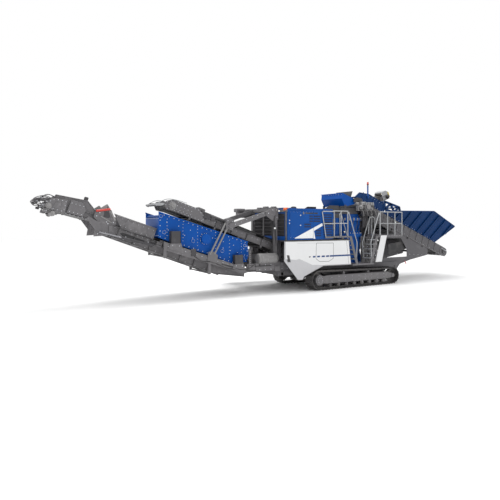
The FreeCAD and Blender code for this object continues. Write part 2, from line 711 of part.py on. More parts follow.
# Side covers
cover = slab("cover", [("chassis_rear_x-40", 1370), (-3250, 490), (-3020, 490), (-2980, 600), (-1950, 1000),
                       (-380, 970), ("cooler_front_x-10", "deck_z-10"), ("chassis_rear_x-40", "deck_z-15")],
             "-deck_half_y-seam-wall", "-deck_half_y-seam")
lip = slab("cover_lip", [("chassis_rear_x-40", "deck_z-90"), ("cooler_front_x-20", "deck_z-90"),
                         ("cooler_front_x-20", "deck_z-20"), ("chassis_rear_x-40", "deck_z-20")],
           "-deck_half_y-seam-5", "-deck_half_y")
node("side_covers", group("side_cover_pair", both(fuse("cover_whole", [cover, lip]))))

# Power pack
shell = fuse("shell", [box("shell_wide", ("housing_rear_x", "-housing_half_y", "deck_z"), ("housing_front_x", "housing_half_y", "housing_top")),
                       box("shell_narrow", ("housing_front_x-10", "-cooler_half_y", "deck_z"), ("cooler_front_x", "cooler_half_y", "cooler_top"))])
room = fuse("room", [box("room_wide", ("housing_rear_x+wall", "-housing_half_y+wall", "deck_z-10"), ("housing_front_x-wall", "housing_half_y-wall", "housing_top-wall")),
                     box("room_narrow", ("housing_front_x-wall-10", "-cooler_half_y+wall", "deck_z-10"), ("cooler_front_x-wall", "cooler_half_y-wall", "cooler_top-wall"))])
DOOR = {"x1": "housing_rear_x+90", "x2": "housing_rear_x+1290", "z1": "deck_z+70", "z2": "housing_top-90"}
openings = group("housing_openings", [
    box("door_opening", (DOOR["x1"], "-housing_half_y-10", DOOR["z1"]), (DOOR["x2"], "-housing_half_y+wall+10", DOOR["z2"])),
    box("rear_opening", ("housing_rear_x-10", "-housing_half_y+220", "deck_z+160"), ("housing_rear_x+wall+10", "housing_half_y-220", "housing_top-200")),
    box("step_opening", ("housing_front_x-wall-20", "-cooler_half_y+wall", "deck_z-10"), ("housing_front_x+20", "cooler_half_y-wall", "cooler_top-wall"))])
HINGE = {"x": "housing_rear_x+96", "y": "-housing_half_y-14"}
sockets = []
pins = []
for i, z in enumerate(("deck_z+300", "housing_top-340")):
    socket = fuse(f"socket_{i}", [rod(f"socket_ring_{i}", 13, 50, (HINGE["x"], HINGE["y"], z), "Z"),
                                  box(f"socket_leaf_{i}", ("housing_rear_x+60", "-housing_half_y-10", z), ("housing_rear_x+88", "-housing_half_y", f"{z}+50")),
                                  box(f"socket_arm_{i}", ("housing_rear_x+60", "-housing_half_y-18", z), ("housing_rear_x+96", "-housing_half_y-10", f"{z}+50"))])
    sockets.append(cut(f"socket_bored_{i}", socket, rod(f"socket_bore_{i}", "door_pin_r+pin_gap", 80, (HINGE["x"], HINGE["y"], f"{z}-10"), "Z")))
    pins += [rod(f"door_pin_{i}", "door_pin_r", 60, (HINGE["x"], HINGE["y"], z), "Z"),
             rod(f"door_knuckle_{i}", 13, 44, (HINGE["x"], HINGE["y"], f"{z}+56"), "Z"),
             box(f"door_leaf_{i}", (HINGE["x"], "-housing_half_y-12", f"{z}+56"), (HINGE["x"] + "+60", "-housing_half_y+5", f"{z}+100"))]
node("engine_housing", fuse("engine_housing_whole", [cut("engine_housing_open", cut("shell_hollow", shell, room), openings)] + sockets))
node("engine_door", fuse("engine_door_whole", [box("door", (f"{DOOR['x1']}+seam", "-housing_half_y", f"{DOOR['z1']}+seam"),
                                                   (f"{DOOR['x2']}-seam", "-housing_half_y+wall", f"{DOOR['z2']}-seam"))] + pins))
node("engine_block", box("engine", (-3150, "-engine_width/2", "deck_z"), ("-3150+engine_length", "engine_width/2", "deck_z+engine_height")))
node("radiator", box("radiator_core", ("housing_rear_x+wall+15", "-housing_half_y+200", "deck_z"),
                     ("housing_rear_x+wall+135", "housing_half_y-200", "housing_top-170")))

# Cone crusher
base_profile = [(560, "beam_high"), (860, "beam_high"), (860, "beam_high+60"), ("crusher_base_r", "beam_high+60"),
                ("crusher_base_r", 1500), ("crusher_base_r+70", 1620), ("crusher_base_r+70", "crusher_split_z-80"),
                ("crusher_flange_r", "crusher_split_z-80"), ("crusher_flange_r", "crusher_split_z"),
                ("crusher_base_r-20", "crusher_split_z"), ("crusher_base_r-60", 1560), (560, 1420)]
ring_base = turned("base_ring", base_profile, ("crusher_x", 0, 0))
hub = turned("base_hub", [("mantle_shaft_r+pin_gap", 1480), (300, 1480), (300, 2020), ("mantle_shaft_r+pin_gap", 2020)], ("crusher_x", 0, 0))
arm_x = box("base_arm_x", ("crusher_x-620", -60, 1500), ("crusher_x+620", 60, 1640))
arm_y = box("base_arm_y", ("crusher_x-60", -620, 1500), ("crusher_x+60", 620, 1640))
bore = rod("base_bore", 200, 400, ("crusher_x", 0, 1400), "Z")
arms = cut("base_arms", fuse("base_cross", [arm_x, arm_y]), bore)
ribs = []
for i in range(D["crusher_ribs"]):
    angle = 360 / D["crusher_ribs"] * (i + 0.5)
    rib = slab(f"base_rib_{i}", [("crusher_base_r-10", 1030), (850, 1030), ("crusher_base_r+30", 1560),
                                 ("crusher_flange_r-20", 2120), ("crusher_flange_r-20", "crusher_split_z-60"),
                                 ("crusher_base_r+20", "crusher_split_z-60"), ("crusher_base_r+20", 1700)], -18, 18)
    ribs.append(place(rib, ("crusher_x", 0, 0), ((0, 0, 1), angle)))
node("crusher_base", fuse("crusher_base_whole", [ring_base, hub, arms] + ribs))
bowl = turned("bowl_ring", [("mantle_low_r+crush_gap", "crusher_split_z"), ("crusher_flange_r", "crusher_split_z"),
                            ("crusher_flange_r", "crusher_split_z+80"), ("crusher_bowl_r-60", "crusher_split_z+80"),
                            ("crusher_bowl_r-60", 2880), ("crusher_bowl_r", 2940), ("crusher_bowl_r", 3060),
                            ("crusher_bowl_r-90", 3060), ("crusher_bowl_r-90", "crusher_top_z"),
                            ("crusher_bowl_r-130", "crusher_top_z"), ("crusher_bowl_r-150", 2960),
                            ("mantle_top_r+crush_gap*2.6", 2760)], ("crusher_x", 0, 0))
cylinders = []
for i in range(8):
    angle = 45 * i + 20
    x = f"crusher_x+(crusher_bowl_r-30)*cos({angle})"
    y = f"(crusher_bowl_r-30)*sin({angle})"
    cylinders.append(rod(f"bowl_cylinder_{i}", 42, "2960-crusher_split_z-60", (x, y, "crusher_split_z+60"), "Z"))
node("crusher_bowl", fuse("crusher_bowl_whole", [bowl] + cylinders))
node("crusher_mantle", turned("mantle", [(0, 1400), ("mantle_shaft_r", 1400), ("mantle_shaft_r", 2060), ("mantle_low_r-60", 2080),
                                         ("mantle_low_r", "mantle_low_z"), ("mantle_top_r+40", "mantle_top_z-160"),
                                         ("mantle_top_r-60", "mantle_top_z"), (90, "mantle_top_z+60"), (0, "mantle_top_z+60")],
                              ("crusher_x", 0, 0)))
chute_out = box("chute_out", (-420, -760, "cooler_top"), (600, 760, 3500))
chute_in = box("chute_in", (-380, -720, 3100), (760, 720, 3600))
chute_floor = cut("chute_floor", box("chute_plate", (-900, -760, "cooler_top"), (600, 760, "cooler_top+40")),
                  rod("chute_hole", "crusher_bowl_r-60", 200, ("crusher_x", 0, 3150), "Z"))
deck_edge = box("deck_edge", (-900, -760, "cooler_top"), (-860, 760, 3420))
lug = box("guard_lug", (-200, -760, 3495), (-80, -740, 3650))
lug_bore = rod("guard_lug_bore", "guard_pin_r+pin_gap", 60, ("guard_x", -780, "guard_z"))
node("crusher_deck", fuse("crusher_deck_whole", [cut("chute_walls", chute_out, chute_in), chute_floor, deck_edge]
                          + both(cut("guard_lug_bored", lug, lug_bore))))

# Splash guard over the crusher feed
front = slab("guard_front", [(-140, 3600), (-330, 3930), (-290, 4190), (-275, 4182), (-312, 3935), (-126, 3606)], -730, 730)
cheek = slab("guard_cheek", [(-140, 3570), (-330, 3930), (-290, 4190), (530, 3890), (480, 3700)], -730, -718)
guard_pin = rod("guard_pin", "guard_pin_r", 42, ("guard_x", -760, "guard_z"))
node("splash_guard", fuse("splash_guard_whole", [front] + both(cheek) + both(guard_pin)))

# Feed conveyor
FEED = ("feed_head_x", "feed_head_z")
FEED_AT = ("feed_head_x", 0, "feed_head_z")
FEED_TURN = ((0, 1, 0), "feed_slope")
pair = channel_pair("feed_channel", FEED_AT, "feed_slope", "feed_frame_low", "feed_frame_high", "feed_half_y",
                    "feed_length+250", -250, False)
parts = [pair] + rollers("feed_roller", FEED, "feed_slope", 500, "feed_length-500", 9, "feed_drum_r-idler_r-6", "idler_r", "feed_half_y-5")
parts += rollers("feed_tie", FEED, "feed_slope", 700, "feed_length-600", 4, -70, 45, "feed_half_y-5")
tail = slab("feed_tail_plate", [("feed_length-20", "feed_frame_low"), ("feed_length+180", "feed_frame_low+20"),
                                ("feed_length+290", -60), ("feed_length+290", 80), ("feed_length+180", "feed_frame_high-20"),
                                ("feed_length-20", "feed_frame_high")], "-feed_half_y", "-feed_half_y+channel_wall")
tail_cap = box("feed_tail_cap", ("feed_length+276", "-feed_half_y+2", -60), ("feed_length+290", "feed_half_y-2", 80))
rear_lug = box("rear_lug", ("feed_length-rear_hinge_back-32", "-feed_half_y", "feed_frame_high-30"), ("feed_length-rear_hinge_back+32", "-feed_half_y+12", "rear_hinge_high+30"))
rear_bore = rod("rear_lug_bore", "rear_pin_r+pin_gap", 60, ("feed_length-rear_hinge_back", "-feed_half_y-20", "rear_hinge_high"))
parts.append(fuse("feed_tail", both(tail) + [tail_cap], FEED_AT, FEED_TURN))
parts.append(group("rear_lugs", both(cut("rear_lug_bored", rear_lug, rear_bore)), FEED_AT, FEED_TURN))
parts.append(rod("feed_shaft_head", "shaft_r", "2*feed_half_y", ("feed_head_x", "-feed_half_y", "feed_head_z")))
x, z = on_run(FEED, "feed_slope", "feed_length", 0)
parts.append(rod("feed_shaft_tail", "shaft_r", "2*feed_half_y", (x, "-feed_half_y", z)))
parts.append(rod("feed_motor", 150, 330, ("feed_head_x", "-feed_half_y-330", "feed_head_z")))
node("feed_frame", fuse("feed_frame_whole", parts))
drums = []
for name, along in (("head", 0), ("tail", "feed_length")):
    x, z = on_run(FEED, "feed_slope", along, 0)
    drum = rod(f"feed_drum_{name}", "feed_drum_r", "feed_belt_width+60", (x, "-feed_belt_width/2-30", z))
    hole = rod(f"feed_drum_bore_{name}", "shaft_r+belt_gap", 2000, (x, -1000, z))
    drums.append(cut(f"feed_drum_cut_{name}", drum, hole))
feed_drums = drums
node("feed_belt", shaped("feed_belt_loop", belt_shape([(D["feed_length"], 0), (0, 0)], D["feed_drum_r"], D["feed_belt_width"], 0),
                         FEED_AT, FEED_TURN))
skirt = slab("head_skirt", [(-698, 222), (-517, 528), (88, "skirt_high"), (1100, "skirt_high-30"), ("hopper_start-8", "hopper_start_high"),
                            ("hopper_start-8", "feed_frame_high+1"), (-300, "feed_frame_high+1")], "-feed_half_y-skirt_thick", "-feed_half_y")
head_tie = rod("head_tie", 40, "2*feed_half_y", (150, "-feed_half_y", 620))
mast = rod("beacon_mast", 28, 620, (1190, "-feed_half_y-skirt_thick-16", 4000), "Z")
hood = fuse("head_skirts", both(skirt) + [head_tie], FEED_AT, FEED_TURN)
lug = box("beacon_lug", (1140, "-feed_half_y-60", 4000), (1240, "-feed_half_y", 4060))
node("feed_hood", fuse("feed_hood_whole", [hood, mast, lug]))

# Hopper
def wall_top(u):
    return (f"(hopper_start_high+(({u})-hopper_start)*(hopper_peak_high-hopper_start_high)"
            "/(hopper_peak-hopper_start)-feed_frame_high)/cos(hopper_flare)")


TALL = "/cos(hopper_flare)"
panel = slab("wall_panel", [("hopper_start", 0), ("hopper_low_end", 0),
                            ("hopper_tip", "(hopper_tip_high-feed_frame_high)" + TALL),
                            ("hopper_peak", "(hopper_peak_high-feed_frame_high)" + TALL),
                            ("hopper_start", "(hopper_start_high-feed_frame_high)" + TALL)], "-skirt_thick", 0)
wall_ribs = []
for i in range(5):
    u = f"hopper_peak-{i}*hopper_rib_pitch-60"
    wall_ribs.append(slab(f"wall_rib_{i}", [(f"{u}-hopper_rib_width/2", 0), (f"{u}+hopper_rib_width/2", 0),
                                            (f"{u}+hopper_rib_width/2", wall_top(u)), (f"{u}-hopper_rib_width/2", wall_top(u))],
                          "-skirt_thick-hopper_rib_deep", "-skirt_thick/2"))
for i in range(3):
    u = f"hopper_peak+{(i + 1)}*hopper_rib_pitch-90"
    top = "(hopper_tip_high+20-feed_frame_high)" + TALL
    wall_ribs.append(slab(f"wall_rib_rear_{i}", [(f"{u}-hopper_rib_width/2", 0 if i < 2 else 480), (f"{u}+hopper_rib_width/2", 0 if i < 2 else 900),
                                                 (f"{u}+hopper_rib_width/2", top), (f"{u}-hopper_rib_width/2", top)],
                          "-skirt_thick-hopper_rib_deep", "-skirt_thick/2"))
flat_wall = fuse("wall_flat", [panel] + wall_ribs, (0, "-feed_half_y", "feed_frame_high"), ((1, 0, 0), "hopper_flare"))
node("hopper_right_wall", group("hopper_near", [flat_wall], FEED_AT, FEED_TURN))
node("hopper_left_wall", mirrored(NODES["hopper_right_wall"], "hopper_far"))

# Rear wall of the hopper, hinged on its lower edge
REAR_X, REAR_Z = on_run(FEED, "feed_slope", "feed_length-rear_hinge_back", "rear_hinge_high")
EDGE = "(feed_half_y-44+({h})*cos(rear_wall_tilt)*tan(hopper_flare))"
low_half = EDGE.format(h=20)
high_half = EDGE.format(h=1060)
rear = slab("rear_panel", [(f"-{low_half}", 20), (low_half, 20), (high_half, 1060), (f"-{high_half}", 1060)], 0, "skirt_thick", "YZ_Plane")
rear_parts = [rear, rod("rear_pipe", 28, "2*(feed_half_y-20)", (0, "-feed_half_y+20", 0), "Y"),
              rod("rear_pin", "rear_pin_r", "2*feed_half_y", (0, "-feed_half_y", 0), "Y")]
for i in range(5):
    y = f"{low_half}*{(i - 2)}*0.42"
    rear_parts.append(box(f"rear_rib_{i}", ("skirt_thick/2", f"{y}-40", 40), ("skirt_thick+50", f"{y}+40", 1040)))
rear_parts.append(box("rear_top", (0, f"-{high_half}", 1030), ("skirt_thick+50", high_half, 1062)))
node("hopper_rear_wall", fuse("rear_whole", rear_parts, (REAR_X, 0, REAR_Z), ((0, 1, 0), "rear_wall_tilt+feed_slope")))

# Platforms, stairs and handrails on the near side
def grating(name, x1, x2, z):
    plate = box(f"{name}_plate", (x1, "-platform_out_y", f"{z}-platform_thick"), (x2, "-platform_in_y", z))
    well = box(f"{name}_well", (f"({x1})+25", "-platform_out_y+25", f"{z}-platform_thick-10"),
               (f"({x2})-25", "-platform_in_y-25", f"{z}-30"))
    return cut(f"{name}_tray", plate, well)


parts = [grating("platform_a", "platform_a_rear", "platform_a_front", "platform_z"),
         grating("platform_b", "platform_b_rear", "platform_b_front", "platform_z"),
         grating("landing", -370, 920, "landing_z")]
platforms = parts
brackets = []
for i, x in enumerate(("platform_a_rear+40", "platform_a_front-100")):
    brackets.append(box(f"hang_a_{i}", (x, "-platform_in_y", "platform_z-platform_thick"), (f"{x}+60", "-cooler_half_y", "platform_z")))
for i, x in enumerate((-250, 600)):
    brackets.append(box(f"hang_landing_{i}", (x, "-platform_in_y-30", 880), (x + 100, "-beam_y-beam_width/2", "landing_z-20")))
for i, x in enumerate((1400, 2600)):
    brackets.append(box(f"hang_b_{i}", (x, "-platform_in_y-10", "platform_z-platform_thick"), (x + 80, "-beam_y", "platform_z")))
stairs = []
for tag, x_top, x_foot in (("a", -562, -170), ("b", 1182, 800)):
    z_top, z_foot = "platform_z-10", "landing_z-5"
    wide = 130 if tag == "a" else -130
    stringer = slab(f"stringer_{tag}", [(x_top, z_top), (x_top + wide, z_top), (x_foot + wide, z_foot), (x_foot, z_foot)],
                    "-platform_out_y", "-platform_out_y+stringer")
    inner = slab(f"stringer_in_{tag}", [(x_top, z_top), (x_top + wide, z_top), (x_foot + wide, z_foot), (x_foot, z_foot)],
                 "-platform_in_y-stringer", "-platform_in_y")
    stairs += [stringer, inner]
    for i in range(D["tread_count"]):
        share = (i + 1) / (D["tread_count"] + 1)
        x = x_top + (x_foot - x_top) * share + min(wide, 0) - 20
        z = f"({z_top})-(({z_top})-({z_foot}))*{share:.4f}"
        stairs.append(box(f"tread_{tag}_{i}", (x, "-platform_out_y+stringer/2", z), (x + 170, "-platform_in_y-stringer/2", f"({z})+28")))
node("stairs_and_platforms", fuse("stairs_all", platforms + brackets + stairs))
node("stair_panel", slab("stair_panel_plate", [(1350, "platform_z"), (1720, "platform_z"), (1390, 1050), (1000, 1050)],
                         "-platform_out_y-18", "-platform_out_y"))
posts = []
OUT, IN = -D["platform_out_y"] + 22, -D["platform_in_y"] - 22
z0, za, zm = D["platform_z"], D["platform_z"] + D["rail_height"], D["platform_z"] + 550
r = D["rail_r"]


def rail_set(x1, x2, count, x_step):
    """Top rail with end posts, a middle rail and posts between, along the outer edge."""
    made = [tube([(x1, OUT, z0), (x1, OUT, za), (x2, OUT, za), (x2, OUT, z0)], r),
            tube([(x1, OUT, zm), (x2, OUT, zm)], r * 0.8)]
    for i in range(1, count):
        made.append(tube([(x1 + (x2 - x1) * i / count, OUT, z0), (x1 + (x2 - x1) * i / count, OUT, za)], r))
    return made


rails = one_of(rail_set(-1410, -640, 2, 0)).fuse(one_of([
    tube([(-1400, OUT, za - 3), (-1400, IN - 40, za - 3), (-1400, IN - 40, z0)], r), tube([(-1400, OUT, zm), (-1400, IN - 40, zm)], r * 0.8)]))
rails_b = one_of(rail_set(1330, 2770, 3, 0) + [
    tube([(2760, OUT, za - 3), (2760, IN - 90, za - 3), (2760, IN - 90, z0)], r), tube([(2760, OUT, zm), (2760, IN - 90, zm)], r * 0.8)])
loops = []
for top, foot, lean in ((-620, -160, -1), (1290, 800, 1)):
    for y in (OUT, IN):
        loops.append(tube([(foot - 20 * lean, y, 1180), (foot - 60 * lean, y, 1950), (top - 40 * lean, y, za - 60), (top + 30 * lean, y, za - 140), (top + 20 * lean, y, z0)], r))
doc.recompute()
tubes = Part.Compound([rails, rails_b] + loops).cut(NODES["stairs_and_platforms"].Shape)
node("handrails", shaped("handrail_tubes", Part.Compound([solid for solid in tubes.Solids if solid.Volume > SLIVER])))

# Discharge conveyor
BEND = ("disc_bend_x", "disc_level_z")
BEND_AT = ("disc_bend_x", 0, "disc_level_z")
level = channel_pair("disc_level", BEND_AT, 0, "disc_frame_low", "disc_frame_high", "disc_half_y", "disc_tail_x-disc_bend_x+190", -20)
rise = channel_pair("disc_rise", BEND_AT, "disc_slope", "disc_frame_low", "disc_frame_high", "disc_half_y",
                    "disc_length+200", "-disc_length-160")
disc_inside = "disc_half_y-channel_flange-channel_wall"
carrying = rollers("disc_roller", BEND, "disc_slope", -600, "-disc_length+700", 8, "disc_drum_r-idler_r-4", "idler_r", disc_inside)
carrying += rollers("disc_level_roller", BEND, 0, 300, 1000, 2, "disc_drum_r-idler_r-4", "idler_r", disc_inside)
parts = [level, rise]
plates = slab("disc_plate", [("-disc_length+1050", "disc_frame_high-20"), ("-disc_length+1250", "disc_skirt_high"),
                             ("-disc_length+2450", "disc_skirt_high"), ("-disc_length+2550", "disc_frame_high-20")],
              "-disc_half_y+channel_flange", "-disc_half_y+channel_flange+12")
scraper = slab("disc_scraper", [("-disc_length-120", -90), ("-disc_length-120", 90), ("-disc_length-500", -40),
                                ("-disc_length-560", -200), ("-disc_length-500", -200), ("-disc_length-450", -80)],
               "-disc_half_y+channel_flange", "-disc_half_y+channel_flange+14")
parts.append(group("disc_sides", both(plates) + both(scraper), BEND_AT, ((0, 1, 0), "disc_slope")))
for name, along, start, slope in (("tail", "disc_tail_x-disc_bend_x", BEND, 0), ("head", "-disc_length", BEND, "disc_slope")):
    x, z = on_run(start, slope, along, 0)
    carrying.append(rod(f"disc_shaft_{name}", "shaft_r", f"2*({disc_inside})", (x, f"-({disc_inside})", z)))
parts += both(box("disc_foot_rear", (-2100, "-beam_y+beam_width/2", 900), (-1920, "-disc_half_y+channel_flange+4", 1080)))
parts += both(box("disc_foot_front", (800, "-beam_y+beam_width/2", 650), (980, "-disc_half_y+channel_flange+4", 705)))
node("discharge_frame", fuse("discharge_whole", parts))
drums = []
for name, along, start, slope in (("tail", "disc_tail_x-disc_bend_x", BEND, 0), ("head", "-disc_length", BEND, "disc_slope")):
    x, z = on_run(start, slope, along, 0)
    drum = rod(f"disc_drum_{name}", "disc_drum_r", "disc_belt_width+40", (x, "-disc_belt_width/2-20", z))
    drums.append(cut(f"disc_drum_cut_{name}", drum, rod(f"disc_bore_{name}", "shaft_r+belt_gap", 2000, (x, -1000, z))))
node("conveyor_drums", group("conveyor_drum_set", feed_drums + drums))


def spot(start, slope, along, across=0):
    """A point on a falling run as numbers."""
    x, z = on_run(start, slope, along, across)
    return number(x), number(z)


node("discharge_belt", shaped("disc_belt_loop", belt_shape(
    [(D["disc_tail_x"], D["disc_level_z"]), (D["disc_bend_x"], D["disc_level_z"]), spot(BEND, "disc_slope", "-disc_length")],
    D["disc_drum_r"], D["disc_belt_width"])))

# Gantry with the arms that carry the discharge conveyor
post = box("gantry_near", ("gantry_x-gantry_post/2", "-gantry_half_y", 1200), ("gantry_x+gantry_post/2", "-gantry_half_y+gantry_post", "gantry_top"))
bar = box("gantry_bar", ("gantry_x-gantry_post/2", "-gantry_half_y", "gantry_top-gantry_post"), ("gantry_x+gantry_post/2", "gantry_half_y", "gantry_top"))
arm = slab("gantry_arm", [("gantry_x", "gantry_top-10"), ("gantry_x", "gantry_top-arm_deep-10"), ("arm_foot_x", 2600), ("arm_foot_x-80", 2660),
                          ("arm_foot_x-60", 2780)], "-gantry_half_y+25", "-gantry_half_y+105")
shoe = box("arm_shoe", ("arm_foot_x-70", "-gantry_half_y+100", 2560), ("arm_foot_x+90", "-disc_half_y", 2680))
node("support_arms", fuse("gantry_whole", both(post) + [bar] + both(arm) + both(shoe)))

# Carrying frame of the screen
beam = slab("subframe_beam", [(-3400, 900), (-3400, 1200), (-5400, 1200), (-5400, 1040), (-8760, 2150), (-8760, 1860), (-5560, 840), (-5300, 900)],
            "-subframe_half_y", "-subframe_half_y+subframe_wall")
parts = both(beam)
for i, (x, z, r1) in enumerate(((-8715, 1600, 30), (-7000, 935, 30), (-4300, 1030, 60), (-3600, 1060, 60))):
    parts.append(rod(f"subframe_tie_{i}", r1, "2*subframe_half_y-20", (x, "-subframe_half_y+10", z)))
for i, (x, z) in enumerate(((-8715, 1600), (-7000, 935))):
    parts += both(box(f"subframe_drop_{i}", (x - 45, "-subframe_half_y", z - 40), (x + 45, "-subframe_half_y+subframe_wall", z + 400)))
STANDS = ((-8300, 2160), (-5750, 1330))
for i, (x, z) in enumerate(STANDS):
    beam_top = f"1040+({x}+5400)/(-8760+5400)*(2150-1040)"
    parts += both(box(f"screen_stand_{i}", (x - 90, "-subframe_half_y+5", beam_top + "-60"), (x + 90, "-subframe_half_y+subframe_wall-5", z)))
outrigger = box("return_beam", ("ret_tail_x-70", "subframe_half_y-10", "ret_tail_z-350"), ("ret_tail_x+70", "ret_tail_y+10", "ret_tail_z-190"))
boss = rod("return_boss", 95, 180, ("ret_tail_x", "ret_tail_y", "ret_tail_z-350"), "Z")
up = box("return_riser", ("ret_tail_x-70", "subframe_half_y-75", "ret_tail_z-350"), ("ret_tail_x+70", "subframe_half_y+60", 905))
parts += [outrigger, boss, up]
swivel_bore = rod("swivel_bore", "swivel_pin_r+pin_gap", 400, ("ret_tail_x", "ret_tail_y", "ret_tail_z-450"), "Z")
node("screen_frame", cut("screen_frame_bored", fuse("screen_frame_whole", parts), swivel_bore))

# Screen box
wall_outline = [("screen_high_x", 2290), ("screen_high_x", "2290+screen_tall"), (-5300, 2080), ("screen_low_x", 1560), (-5330, 1290),
                (-5980, 1230), (-6580, 1480), (-7970, 1950)]
wall_near = slab("screen_wall_near", wall_outline, "-screen_half_y", "-screen_half_y+screen_wall")
parts = both(wall_near)
for i, (x, z, r1) in enumerate(((-8820, 3050, 40), (-8700, 2480, 45), (-7600, 2150, 45), (-6400, 1740, 45), (-5500, 1440, 45), (-5420, 1930, 40), (-7100, 2215, 85))):
    parts.append(rod(f"screen_tie_{i}", r1, "2*screen_half_y-10", (x, "-screen_half_y+5", z)))
parts.append(box("screen_back", ("screen_high_x", "-screen_half_y+5", 2300), ("screen_high_x+12", "screen_half_y-5", 3010)))
for i, (x, z) in enumerate(STANDS):
    ear = box(f"screen_ear_{i}", (x - 110, "-subframe_half_y", z + 0), (x + 110, "-screen_half_y", 0))
    bind(ear, Height="30")
    place(ear, (x - 110, "-subframe_half_y", f"{z}+spring_length"))
    gusset = box(f"screen_gusset_{i}", (x - 20, "-subframe_half_y", f"{z}+spring_length"), (x + 20, "-screen_half_y+2", f"{z}+spring_length+130"))
    parts += both(ear) + both(gusset)
node("screen_box", fuse("screen_box_whole", parts))
decks = []
for i, (z_high, z_low) in enumerate(((2960, 1760), (2640, 1500))):
    decks.append(slab(f"screen_deck_{i}", [(-8870, z_high), (-5290, z_low), (-5290, f"{z_low}+screen_deck_thick"), (-8870, f"{z_high}+screen_deck_thick")],
                      "-screen_half_y+screen_wall", "screen_half_y-screen_wall"))
node("screen_decks", group("screen_deck_pair", decks))
springs = []
for i, (x, z) in enumerate(STANDS):
    springs += both(rod(f"screen_spring_{i}", "spring_r-22", "spring_length", (x, "-subframe_half_y+subframe_wall/2", z), "Z"))
node("screen_springs", group("screen_spring_set", springs))
exciter = rod("exciter_near", 190, 130, (-7100, "-screen_half_y-130", 2215))
node("screen_exciter", group("exciter_pair", both(exciter)))

# Cross conveyor
channel = slab("cross_channel", [("cross_belt_x-cross_half_x", "cross_belt_z-120"), ("cross_belt_x-cross_half_x+60", "cross_belt_z-120"),
                                 ("cross_belt_x-cross_half_x+60", "cross_belt_z-108"), ("cross_belt_x-cross_half_x+12", "cross_belt_z-108"),
                                 ("cross_belt_x-cross_half_x+12", "cross_belt_z+120"), ("cross_belt_x-cross_half_x", "cross_belt_z+120")],
               "cross_near_y-120", "cross_far_y+60")
channel_b = slab("cross_channel_b", [("cross_belt_x+cross_half_x", "cross_belt_z-120"), ("cross_belt_x+cross_half_x-60", "cross_belt_z-120"),
                                     ("cross_belt_x+cross_half_x-60", "cross_belt_z-108"), ("cross_belt_x+cross_half_x-12", "cross_belt_z-108"),
                                     ("cross_belt_x+cross_half_x-12", "cross_belt_z+120"), ("cross_belt_x+cross_half_x", "cross_belt_z+120")],
                 "cross_near_y-120", "cross_far_y+60")
parts = [channel, channel_b]
for i, y in enumerate(("cross_near_y", "cross_far_y")):
    parts.append(rod(f"cross_shaft_{i}", 30, "2*cross_half_x-10", ("cross_belt_x-cross_half_x+5", y, "cross_belt_z"), "X"))
for i, y in enumerate(("cross_near_y", "cross_far_y")):
    parts.append(rod(f"cross_drum_{i}", "cross_drum_r", "cross_belt_width", ("cross_belt_x-cross_belt_width/2", y, "cross_belt_z"), "X"))
for i in range(3):
    parts.append(rod(f"cross_roller_{i}", 40, "2*cross_half_x-10", ("cross_belt_x-cross_half_x+5", f"cross_near_y+{700 * (i + 1)}", "cross_belt_z+cross_drum_r-42"), "X"))
for i, sign in enumerate((-1, 1)):
    parts.append(box(f"cross_leg_{i}", (f"cross_belt_x{'+' if sign > 0 else '-'}300-40", "subframe_half_y-80", 1200), (f"cross_belt_x{'+' if sign > 0 else '-'}300+40", "subframe_half_y-10", "cross_belt_z-108")))
    parts.append(box(f"cross_leg_near_{i}", (f"cross_belt_x{'+' if sign > 0 else '-'}300-40", "-subframe_half_y+10", 1200), (f"cross_belt_x{'+' if sign > 0 else '-'}300+40", "-subframe_half_y+110", "cross_belt_z-108")))
node("cross_conveyor", fuse("cross_whole", parts))
cross_loop = belt_shape([(-D["cross_near_y"], 0), (-D["cross_far_y"], 0)], D["cross_drum_r"], D["cross_belt_width"], 12)
node("cross_belt", shaped("cross_belt_loop", cross_loop, ("cross_belt_x", 0, "cross_belt_z"), ((0, 0, 1), -90)))

# Fines conveyor
FINES = ("fines_bend_x", "fines_bend_z")
FINES_AT = ("fines_bend_x", 0, "fines_bend_z")
FINES_TURN = ((0, 1, 0), "fines_slope")
loading = channel_pair("fines_loading", FINES_AT, "fines_tail_slope", "fines_frame_low+40", "fines_frame_high-30", "fines_half_y", "fines_tail_length+170", -30)
rise = channel_pair("fines_rise", FINES_AT, "fines_slope", "fines_frame_low", "fines_frame_high", "fines_half_y", "fines_length+130", "-fines_length-90")
parts = [loading, rise]
fines_inside = "fines_half_y-channel_flange-channel_wall"
carrying += rollers("fines_roller", FINES, "fines_slope", -500, "-fines_length+350", 5, "fines_drum_r-idler_r-4", "idler_r", fines_inside)
carrying += rollers("fines_tie", FINES, "fines_slope", -300, "-fines_length+200", 4, "fines_frame_low+60", 35, fines_inside)
parts += both(box("fines_hanger_low", (-6760, "-subframe_half_y+subframe_wall", 1225), (-6600, "-fines_half_y+channel_flange+5", 1275)))
parts += both(box("fines_hanger_high", (-8380, "-subframe_half_y+subframe_wall", 1790), (-8220, "-fines_half_y+channel_flange+5", 1860)))
for name, along, slope in (("tail", "fines_tail_length", "fines_tail_slope"), ("end", "-fines_length", "fines_slope")):
    x, z = on_run(FINES, slope, along, 0)
    shaft = rod(f"fines_shaft_{name}", "shaft_r", f"2*({fines_inside})", (x, f"-({fines_inside})", z))
    drum = rod(f"fines_drum_{name}", "fines_drum_r", "fines_belt_width", (x, "-fines_belt_width/2", z))
    carrying.append(fuse(f"fines_roll_{name}", [shaft, drum]))
bracket = slab("fold_bracket", [(-10420, 2440), (-10690, 2380), (-11080, 2360), (-11060, 2480), (-10990, 2860), (-10880, 2890), (-10760, 2870), (-10440, 2740)],
               "-fines_half_y-20", "-fines_half_y")
bracket = cut("fold_bracket_bored", bracket, rod("fold_bore", "fold_pin_r+pin_gap", 60, ("fold_x", "-fines_half_y-40", "fold_z")))
